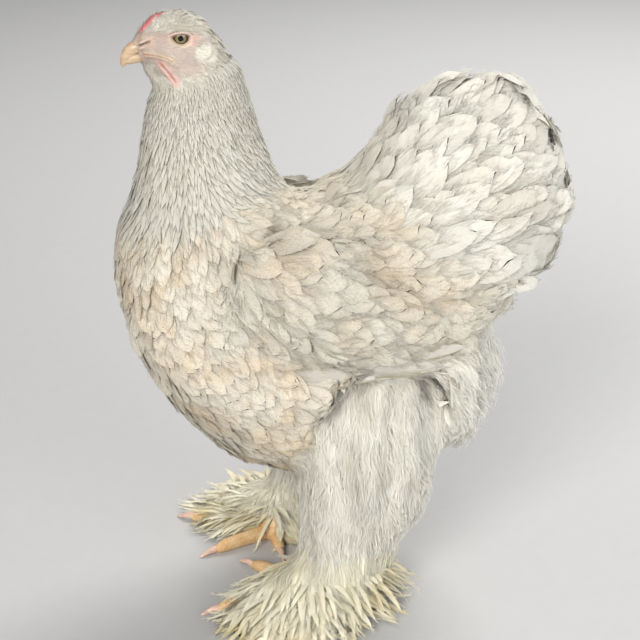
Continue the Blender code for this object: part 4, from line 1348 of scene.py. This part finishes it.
def feather_material(name, white, edging, buff, barbs, relief, shade):
    """Feathers by their vane and marks, with so many barbs to one, and their folds dimmed to shade."""
    made, bench, shader = new_material(name)
    vane = bench.add("ShaderNodeUVMap", uv_map="Vane")
    marks = bench.add("ShaderNodeAttribute", attribute_name="Marking")
    place = bench.place()
    chance = marks.outputs["Alpha"]
    lines = bench.add("ShaderNodeGroup", {"Vane": vane.outputs[0], "Chance": chance, "Count": barbs},
                      node_tree=BARBS).outputs
    paint = bench.add("ShaderNodeGroup", {
        "Marking": marks.outputs["Color"], "Chance": chance, "Across": lines["Across"],
        "Along": lines["Along"], "Streak": lines["Streak"], "Place": place, "White": (*white, 1.0),
        "Edging": (*edging, 1.0), "Buff": (*buff, 1.0), "Shade": shade}, node_tree=MARKINGS)
    rough = bench.between(lines["Streak"], 0.2, 0.8, 0.78, 0.60)
    join(bench, shader, paint.outputs[0], lines["Height"], 1.0, relief, rough)
    bench.feed(shader, {"Sheen Weight": 0.08, "Sheen Roughness": 0.5, "Specular IOR Level": 0.25})
    return made


def relief_of(bench, place, size):
    """The fine relief of bare skin, with that many pebbles to the metre."""
    return bench.add("ShaderNodeGroup", {"Place": place, "Size": size}, node_tree=WRINKLES).outputs


def skin_material():
    """Bare skin by its tint, with pale hairs that fan out from the bill."""
    made, bench, shader = new_material("bare skin")
    tint = bench.add("ShaderNodeAttribute", attribute_name="Tint")
    place = bench.place()
    relief = relief_of(bench, place, 850.0)
    deep = bench.between(relief["Mottle"], 0.35, 0.7, 0.82, 1.08)
    colour = bench.dimmed(tint.outputs["Color"], bench.math("MAXIMUM", deep, 0.94), deep, deep)
    from_bill = bench.add("ShaderNodeVectorMath", {0: place, 1: tuple(BILL_ROOT)},
                          operation="SUBTRACT").outputs[0]
    apart = bench.add("ShaderNodeSeparateXYZ", {0: from_bill})
    angle = bench.math("ARCTAN2", apart.outputs[2], apart.outputs[0])
    reach = bench.add("ShaderNodeVectorMath", {0: from_bill}, operation="LENGTH").outputs["Value"]
    fan = bench.vector(bench.times(angle, 34.0), bench.times(reach, 140.0), apart.outputs[1])
    hairs = bench.between(bench.noise(fan, 1.6, 3.0, 0.6), 0.42, 0.64, 0.0, 0.55)
    thin = bench.between(reach, 0.016, 0.028)
    colour = bench.mix(bench.times(hairs, thin), colour, (0.52, 0.48, 0.42, 1.0))
    join(bench, shader, colour, relief["Height"], 0.35, 0.3 * MM, 0.52)
    bench.feed(shader, {"Subsurface Weight": 0.12, "Subsurface Radius": (1.0, 0.35, 0.2),
                        "Subsurface Scale": 1.5 * MM})
    return made


def scale_material():
    """The yellow scaled skin of shanks and toes."""
    made, bench, shader = new_material("scaled foot skin")
    relief = relief_of(bench, bench.place(), 620.0)
    mottle = bench.between(relief["Mottle"], 0.3, 0.7)
    warm = bench.mix(mottle, (0.78, 0.46, 0.20, 1), (0.86, 0.62, 0.34, 1))
    flake = bench.between(relief["Height"], -0.05, 0.45, 0.82, 1.05)
    colour = bench.dimmed(warm, flake, flake, flake)
    join(bench, shader, colour, relief["Height"], 0.5, 0.4 * MM, 0.48)
    return made


def horn_material(name, pale, dark, grain):
    """Bill or claw horn: fine growth lines lengthwise, darker towards the ridge."""
    made, bench, shader = new_material(name)
    place = bench.place()
    stretch = bench.add("ShaderNodeMapping", {"Vector": place, "Scale": (60.0, 400.0, 400.0)})
    lines = bench.noise(stretch.outputs[0], grain, 4.0)
    apart = bench.add("ShaderNodeSeparateXYZ", {0: place})
    middle = bench.between(bench.math("ABSOLUTE", apart.outputs[1]), 3.2 * MM, 0.5 * MM)
    ridge = bench.times(middle, bench.between(lines, 0.35, 0.65))
    colour = bench.mix(bench.between(lines, 0.3, 0.75), (*pale, 1.0), (*dark, 1.0))
    colour = bench.mix(bench.times(ridge, 0.45), colour, (0.42, 0.26, 0.13, 1.0))
    join(bench, shader, colour, lines, 0.12, 0.2 * MM, bench.between(lines, 0.2, 0.8, 0.30, 0.46))
    bench.feed(shader, {"Subsurface Weight": 0.15, "Subsurface Scale": 1.5 * MM})
    return made


def eye_material(name, sign, facing):
    """Pupil, olive iris with a dark rim, and a wet surface, by the distance from the eye's own axis."""
    made, bench, shader = new_material(name)
    place = bench.place()
    centre = (EYE_AT.x, sign * EYE_AT.y, EYE_AT.z)
    from_middle = bench.add("ShaderNodeVectorMath", {0: place, 1: centre}, operation="SUBTRACT").outputs[0]
    axis = bench.add("ShaderNodeVectorMath", {0: from_middle, 1: tuple(facing)},
                     operation="DOT_PRODUCT").outputs["Value"]
    length = bench.add("ShaderNodeVectorMath", {0: from_middle}, operation="LENGTH").outputs["Value"]
    aside = bench.math("SQRT", bench.minus(bench.times(length, length), bench.times(axis, axis)))
    fibre = bench.noise(from_middle, 900.0, 3.0)
    colour = bench.mix(bench.between(fibre, 0.3, 0.7), (0.13, 0.12, 0.055, 1.0), (0.27, 0.24, 0.13, 1.0))
    for inner, outer, paint in (
            (3.4, 4.5, (0.09, 0.05, 0.02, 1.0)), (4.5, 5.0, (0.05, 0.03, 0.02, 1.0)),
            (2.35, 2.1, (0.004, 0.004, 0.004, 1.0))):
        colour = bench.mix(bench.between(aside, inner * MM, outer * MM), colour, paint)
    bench.feed(shader, {"Base Color": colour, "Roughness": 0.12, "Specular IOR Level": 0.35})
    return made


BARBS = barb_group()
MARKINGS = marking_group()
WRINKLES = wrinkle_group()
OLIVE = (0.32, 0.30, 0.20)
TAN = (0.70, 0.53, 0.33)
STRAW = (0.70, 0.58, 0.28)

# The plumage's finishes: kind of plumage, name, white, edging, buff, barbs, relief in mm, and shade.
FINISHES = {
    "head": ("body", "head feathers", (0.555, 0.525, 0.455), (0.25, 0.22, 0.15), TAN, 14.0, 0.15, 0.84),
    "neck": ("hackle", "hackle", (0.625, 0.605, 0.535), (0.24, 0.23, 0.17), TAN, 40.0, 0.25, 0.84),
    "body": ("body", "body feathers", (0.715, 0.67, 0.57), OLIVE, TAN, 30.0, 0.4, 0.84),
    # The wing's white is darker than the body's as painted shade, for the folded wing lies in more shadow
    # than breast and back.
    "wing": ("body", "wing feathers", (0.63, 0.60, 0.52), OLIVE, TAN, 40.0, 0.4, 0.84),
    "tail": ("body", "cushion feathers", (0.77, 0.75, 0.67), OLIVE, TAN, 34.0, 0.45, 0.84),
    "flight": ("body", "flight feathers", (0.58, 0.54, 0.49), OLIVE, TAN, 46.0, 0.3, 0.84),
    "bristle": ("body", "face bristles", (0.46, 0.42, 0.36), OLIVE, TAN, 10.0, 0.1, 0.84),
    "down": ("down", "down", (0.95, 0.925, 0.825), OLIVE, TAN, 24.0, 0.4, 0.97),
    "foot": ("down", "foot feathers", (0.93, 0.885, 0.715), (0.40, 0.38, 0.30), STRAW, 40.0, 0.25, 0.92),
}
PLUMES = {
    finish: feather_material(name, white, edging, buff, barbs, relief * MM, shade)
    for finish, (_, name, white, edging, buff, barbs, relief, shade) in FINISHES.items()}

# The coat's pieces: name, part, finish, whether the feathers are broad, and the down over them, as strands to
# the square millimetre, their length by the feathers', and how far they stand off.
COAT_PIECES = [
    ("neck", "neck", "neck", False, ()),
    ("breast", "breast", "body", True, (0.06, 0.30, 0.5 * MM)),
    ("back", "trunk", "body", True, (0.10, 0.30, 0.6 * MM)),
    ("tail", "tail", "tail", True, (0.12, 0.26, 1.2 * MM)),
    ("vent", "vent_fluff", "down", True, (0.34, 0.5, 5.0 * MM))]
for side in SIDES:
    COAT_PIECES += [
        ("wing_" + side, "wing_" + side, "wing", True, (0.13, 0.26, 0.6 * MM)),
        ("thigh_" + side, "thigh_" + side, "down", True, (0.41, 0.5, 2.4 * MM)),
        ("foot_" + side, "boot_" + side, "foot", False, (0.40, 0.8, 2.4 * MM))]


def coat_form():
    """The surface that the feathers lie on, and each vertex's part."""
    coat = Form(fused("coat", [copy_of(name) for name in BODY + BOOTS], COAT_VOXEL, 18))
    labels = nearest_parts(coat.points, BODY + BOOTS)
    x, _, z = coat.points.T
    under_tail = (x > 0.03) & (z < 0.215 + 0.45 * (x - 0.03)) & np.isin(labels, ["trunk", "tail", "breast"])
    under_wing = (x > 0.06) & (z < 0.226) & np.char.startswith(labels, "wing")
    labels[under_tail | under_wing] = "vent_fluff"
    coat.dress(labels)
    lumps = trait(coat.traits, "lump") * waves(coat.points, 38 * MM, 3, coat.lie)
    coat.move(lumps - trait(coat.traits, "inset"))
    coat.ready()
    return coat, labels


def sink_under(mesh, coat):
    """Moves a skin's vertices so far under the coat as the feathers' roots lie."""
    points = numbers(mesh.vertices, "co", 3)
    depth = trait(coat.face_traits, "depth") + 0.6 * MM
    for i, point in enumerate(points.tolist()):
        near, _, triangle, _ = coat.tree.find_nearest(point)
        normal = coat.face_normals[triangle]
        if (Vector(point) - near).dot(normal) > -depth[triangle]:
            points[i] = near - normal * depth[triangle]
    mesh.vertices.foreach_set("co", points.ravel())
    mesh.update()


def build_skin(face, coat):
    """The skin under the coat: body, face and legs as one piece."""
    body = Form(fused("skin_base", [copy_of(name, 0.5 * MM) for name in BODY[1:]], SKIN_VOXEL, 6))
    body.dress(nearest_parts(body.points, BODY))
    body.move(-(trait(body.traits, "depth") + trait(body.traits, "inset") + 1.2 * MM))
    again = fused("skin_body", [opened(body.mesh)], SKIN_VOXEL, 3)
    sink_under(again, coat)
    legs = [leg_form(side).mesh for side in SIDES]
    mesh = gathered("skin", [opened(bare_part) for bare_part in (again, face.mesh, *legs)])
    obj = link("skin", mesh)
    skin = Skin(mesh)
    colour = mesh.color_attributes.new("Tint", "FLOAT_COLOR", "POINT")
    colour.data.foreach_set("color", face_colours(skin.points).astype(np.float32).ravel())
    mesh.shade_smooth()
    skin.unwrap(obj)
    mesh.uv_layers.active.name = "OFBake"
    is_leg = numbers(mesh.polygons, "center", 3)[:, 2] < LEG_TOP
    settle(obj, skin_material(), "body_plumage",
           *BODY, *BOOTS, "comb", *(part + "_" + side for part in LEG for side in SIDES),
           *(part + side for part in ("earlobe_", "wattle_") for side in SIDES))
    mesh.materials.append(scale_material())
    mesh.polygons.foreach_set("material_index", is_leg.astype(np.int32))
    return skin


def finish_piece(made, name, finish):
    """Makes a piece of the coat from what was gathered."""
    obj = settle(made.made(name), PLUMES[finish], FINISHES[finish][0] + "_plumage")
    print(name, sum(len(face.vertices) - 2 for face in obj.data.polygons), "triangles")


def same_traits(count, **values):
    """Traits that are the same for every feather."""
    return {name: np.full(count, value) for name, value in values.items()}


def add_flight(made, form, skin, sign, rng):
    """The long flight feathers that show under the lower edge of the folded wing."""
    count = len(FLIGHT_SHARES)
    traits = same_traits(count, length=FLIGHT_BACK.length, width=8.5 * MM, depth=0.0, lift=0.0, loose=0.3,
                         point=0.25, fringe=1.5, grey=1.3, buff=0.15, pepper=0.1)
    lines = np.empty((count, 3, BROAD_ROWS, 3), np.float32)
    for i, share in enumerate(FLIGHT_SHARES):
        tip = FLIGHT_FROM.lerp(FLIGHT_TO, share)
        ends = []
        for place, out in ((tip - FLIGHT_BACK, -4.5), (tip, 1.8 - 1.4 * share)):
            start = Vector((place.x, sign * 0.2, place.z))
            hit = form.tree.ray_cast(start, Vector((0.0, -sign, 0.0)))[0]
            ends.append(hit + Vector((0.0, sign * out * MM, 0.0)))
        ahead = (ends[1] - ends[0]).normalized()
        normal = Vector((0.0, sign, 0.15))
        normal = (normal - ahead * normal.dot(ahead)).normalized()
        for row, along in enumerate(np.linspace(0.0, 1.0, BROAD_ROWS).tolist()):
            lines[i, 0, row] = ends[0].lerp(ends[1], along) + normal * (along * (1.0 - along) * 10 * MM)
        lines[i, 1] = normal
        lines[i, 2] = ahead
    add_feathers(made, lines, traits, skin, True, rng)


def add_drooping(made, skin, roots, ways, lengths, rng):
    """Gathers stiff feathers that start straight and droop to the floor."""
    count = len(roots)
    traits = same_traits(count, width=PLUME_WIDTH, depth=0.0, lift=0.0, loose=0.7, point=0.5, fringe=3.4,
                         grey=0.35, buff=0.8, pepper=0.0)
    traits["length"] = lengths
    lines = np.empty((count, 3, NARROW_ROWS, 3), np.float32)
    droop = rng.uniform(0.35, 0.9, count)
    lowest = rng.uniform(1.0, 4.0, count) * MM
    for row, share in enumerate(np.linspace(0.0, 1.0, NARROW_ROWS)):
        point = roots + ways * (lengths * share)[:, None]
        point[:, 2] = np.maximum(point[:, 2] - droop * lengths * share ** 2 * 0.8, lowest)
        lines[:, 0, row] = point
    lines[:, 2, :-1] = unit(np.diff(lines[:, 0], axis=1))
    lines[:, 2, -1] = lines[:, 2, -2]
    lines[:, 1] = (0.0, 0.0, 1.0)
    lines[:, 1] -= lines[:, 2] * np.sum(lines[:, 1] * lines[:, 2], axis=2, keepdims=True)
    lines[:, 1] = unit(lines[:, 1])
    add_feathers(made, lines, traits, skin, False, rng)


def add_toe_plumes(made, skin, side, rng):
    """The stiff feathers that grow from the middle and outer toes."""
    pad = FOOT_CENTRES[side]
    for toe, count, reach in (("middle", 210, 0.60), ("outer", 150, 0.85)):
        ahead, far = toe_way("toe_" + toe + "_" + side, pad)
        aside = np.array((-ahead[1], ahead[0], 0.0))
        run = rng.uniform(-0.05, reach, count)[:, None]
        lean = rng.normal(0.0, 0.5, count)[:, None]
        up = np.array((0.0, 0.0, 1.0))
        roots = pad * (1, 1, 0) + ahead * far * run + aside * lean * 5 * MM
        roots = roots + up * rng.uniform(8, 17, (count, 1)) * MM * (1.2 - 0.6 * run)
        ways = unit(ahead + aside * lean * 0.8 + up * rng.uniform(-0.05, 0.45, (count, 1)))
        lengths = rng.uniform(24, 42, count) * MM * (1.15 - 0.45 * run[:, 0])
        add_drooping(made, skin, roots, ways, lengths, rng)


def add_fan_plumes(made, form, skin, chosen, side, rng):
    """The long feathers that stand out round the foot from the foot of the boot."""
    places, owners = scatter(form, chosen / 1.2, 6.0, rng)
    normal = np.array([form.face_normals[index] for index in owners])
    out = unit((places - FOOT_CENTRES[side]) * (1.0, 1.0, 0.0))
    keep = np.sum(normal * out, axis=1) > -0.2
    places, normal, out = places[keep], normal[keep], out[keep]
    count = len(places)
    swirl = rng.normal(0.0, 0.20, (count, 3)) * (1.0, 1.0, 0.6)
    across = np.cross(out, (0.0, 0.0, 1.0))
    locks = 0.32 * waves(places, 20 * MM, 41)[:, None]
    ways = unit(out + normal * 0.25 + swirl + across * locks + (0.0, 0.0, 0.10))
    lengths = rng.uniform(16, 40, count) * MM
    start = places - ways * (6 * MM)
    room = (WIDEST - np.abs(start[:, 1])) / np.maximum(np.abs(ways[:, 1]), 0.05)
    lengths = np.minimum(lengths, np.maximum(room, 8 * MM))
    add_drooping(made, skin, start, ways, lengths, rng)


CREASE_WIDTH = 13 * MM  # how far from a thigh its down reaches into the body
HEAD_SEED = 7


def beside_thigh(points, side):
    """Whether each point lies in the crease round the top of a thigh."""
    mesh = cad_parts["thigh_" + side].data
    faces = [tuple(face.vertices) for face in mesh.polygons]
    tree = BVHTree.FromPolygons([vertex.co for vertex in mesh.vertices], faces)
    return np.array([tree.find_nearest(point, CREASE_WIDTH)[0] is not None for point in points.tolist()])


def cover_head(face, skin):
    """The feathers of the head, and the bristles of the bare cheek."""
    face.dress(np.full(len(face.points), "head"))
    face.ready()
    middle = face.points[face.triangles].mean(axis=1)
    parts = nearest_parts(middle, ["head", "neck"])
    feathered = (parts == "head") & (bare(middle) < 0.5)
    rng = np.random.default_rng(HEAD_SEED)
    places, owners = scatter(face, feathered.astype(float), 5.0, rng)
    made = Patchwork()
    add_plumage(made, face, skin, places, owners, False, rng, 0.2)
    finish_piece(made, "feathers_head", "head")
    made = Patchwork()
    add_bristles(made, face, skin, bare_cheek(middle) * (eye_reach(folded(middle)) > 1.5), rng)
    finish_piece(made, "bristles_face", "bristle")


def cover_body(skin, coat, labels):
    """Every other feather, as one piece for each part of the body."""
    middle = coat.points[coat.triangles].mean(axis=1)
    x, y, z = middle.T
    labels = labels[coat.triangles[:, 0]]
    owner = labels.copy()
    upward = np.array([normal.z for normal in coat.face_normals])
    sole = (z < 9 * MM) & (upward < 0.05)
    for side, sign in SIDES.items():
        crease = beside_thigh(middle, side) & (upward < 0.3) & (z < 0.24) & (y * sign > 0)
        owner[crease & ~np.isin(owner, BOOTS)] = "thigh_" + side

    for label, part, finish, broad, down in COAT_PIECES:
        name = "feathers_" + label
        rng = np.random.default_rng(sum(name.encode()))
        chosen = (owner == part) & ~sole
        over_flight = part.startswith("wing") & (x > 0.005) & (z < 0.240)
        vaned = chosen & ~over_flight & (labels == part)
        places, owners = scatter(coat, vaned.astype(float), 12.0, rng)
        made = Patchwork()
        add_plumage(made, coat, skin, places, owners, broad, rng)
        if down:
            add_down(made, coat, skin, chosen, *down, rng)
        side = name.rsplit("_", 1)[1]
        if part.startswith("wing"):
            flight = Patchwork()
            add_flight(flight, coat, skin, SIDES[side], rng)
            finish_piece(flight, "feathers_flight_" + side, "flight")
        if part.startswith("boot"):
            add_toe_plumes(made, skin, side, rng)
            add_fan_plumes(made, coat, skin, chosen & (z < 34 * MM), side, rng)
        finish_piece(made, name, finish)


def add_bill_and_eyes():
    horn = horn_material("bill horn", (0.58, 0.44, 0.29), (0.49, 0.34, 0.21), 1.0)
    settle(bill_half("bill_upper", UPPER_BILL, True), horn, "horn", "beak_upper")
    settle(bill_half("bill_lower", LOWER_BILL, False), horn, "horn", "beak_lower")
    for side, sign in SIDES.items():
        ball, facing = eyeball("eyeball_" + side, sign)
        settle(ball, eye_material("eye " + side, sign, facing), "eye", "eye_" + side)


def add_claws():
    horn = horn_material("claw horn", (0.80, 0.58, 0.46), (0.66, 0.42, 0.32), 1.4)
    for side in SIDES:
        for part in ("middle", "inner", "outer", "hind"):
            node = "claw_" + part + "_" + side
            settle(claw("nail_" + part + "_" + side, node), horn, "horn", node)


LAMPS = (       # name, place, size, power and colour
    ("key", (-1.8, -2.6, 2.0), 1.8, 108.0, (1.0, 0.985, 0.96)),
    ("fill", (1.6, -2.6, 0.8), 2.0, 52.0, (0.98, 0.99, 1.0)),
    ("top", (1.3, 1.6, 2.3), 1.6, 78.0, (1.0, 0.99, 0.97)))
LIT_AT = Vector((0.0, 0.0, 0.27))
ROOM_GREY = (0.84, 0.84, 0.84, 1.0)
ROOM_LIGHT = 0.30
FLOOR_RADIUS = 9.0


def floor_and_light():
    """A pale floor and soft studio light."""
    bm = bmesh.new()
    bmesh.ops.create_circle(bm, cap_ends=True, segments=64, radius=FLOOR_RADIUS)
    mesh = bpy.data.meshes.new("floor")
    bm.to_mesh(mesh)
    bm.free()
    floor = link("floor", mesh)
    made, bench, shader = new_material("studio floor")
    grain = bench.noise(bench.place(), 60.0, 4.0)
    colour = bench.mix(grain, (0.48, 0.48, 0.482, 1.0), (0.51, 0.51, 0.512, 1.0))
    join(bench, shader, colour, grain, 0.05, 1.0 * MM, 0.7)
    mesh.materials.append(made)
    world = bpy.context.scene.world or bpy.data.worlds.new("studio")
    bpy.context.scene.world = world
    world.use_nodes = True
    room = world.node_tree.nodes["Background"]
    Bench(world.node_tree).feed(room, {"Color": ROOM_GREY, "Strength": ROOM_LIGHT})
    for name, at, size, energy, warmth in LAMPS:
        lamp = bpy.data.lights.new(name, "AREA")
        lamp.shape = "DISK"
        lamp.size = size
        lamp.energy = energy
        lamp.color = warmth
        holder = bpy.data.objects.new(name, lamp)
        holder.location = at
        holder.rotation_euler = (LIT_AT - Vector(at)).to_track_quat("-Z", "Y").to_euler()
        bpy.context.scene.collection.objects.link(holder)


def aim_camera():
    lens = bpy.data.cameras.new("view")
    lens.lens = CAMERA_LENS
    lens.sensor_width = SENSOR
    lens.clip_start, lens.clip_end = 0.05, 50.0
    holder = bpy.data.objects.new("view", lens)
    holder.location = CAMERA_AT
    holder.rotation_euler = (math.pi / 2 - CAMERA_DOWN, 0.0, -CAMERA_TURN)
    bpy.context.scene.collection.objects.link(holder)
    bpy.context.scene.camera = holder


bpy.context.scene.view_settings.view_transform = "Standard"
aim_camera()
floor_and_light()
face = face_form()
coat, labels = coat_form()
skin = build_skin(face, coat)
cover_head(face, skin)
cover_body(skin, coat, labels)
add_bill_and_eyes()
add_claws()
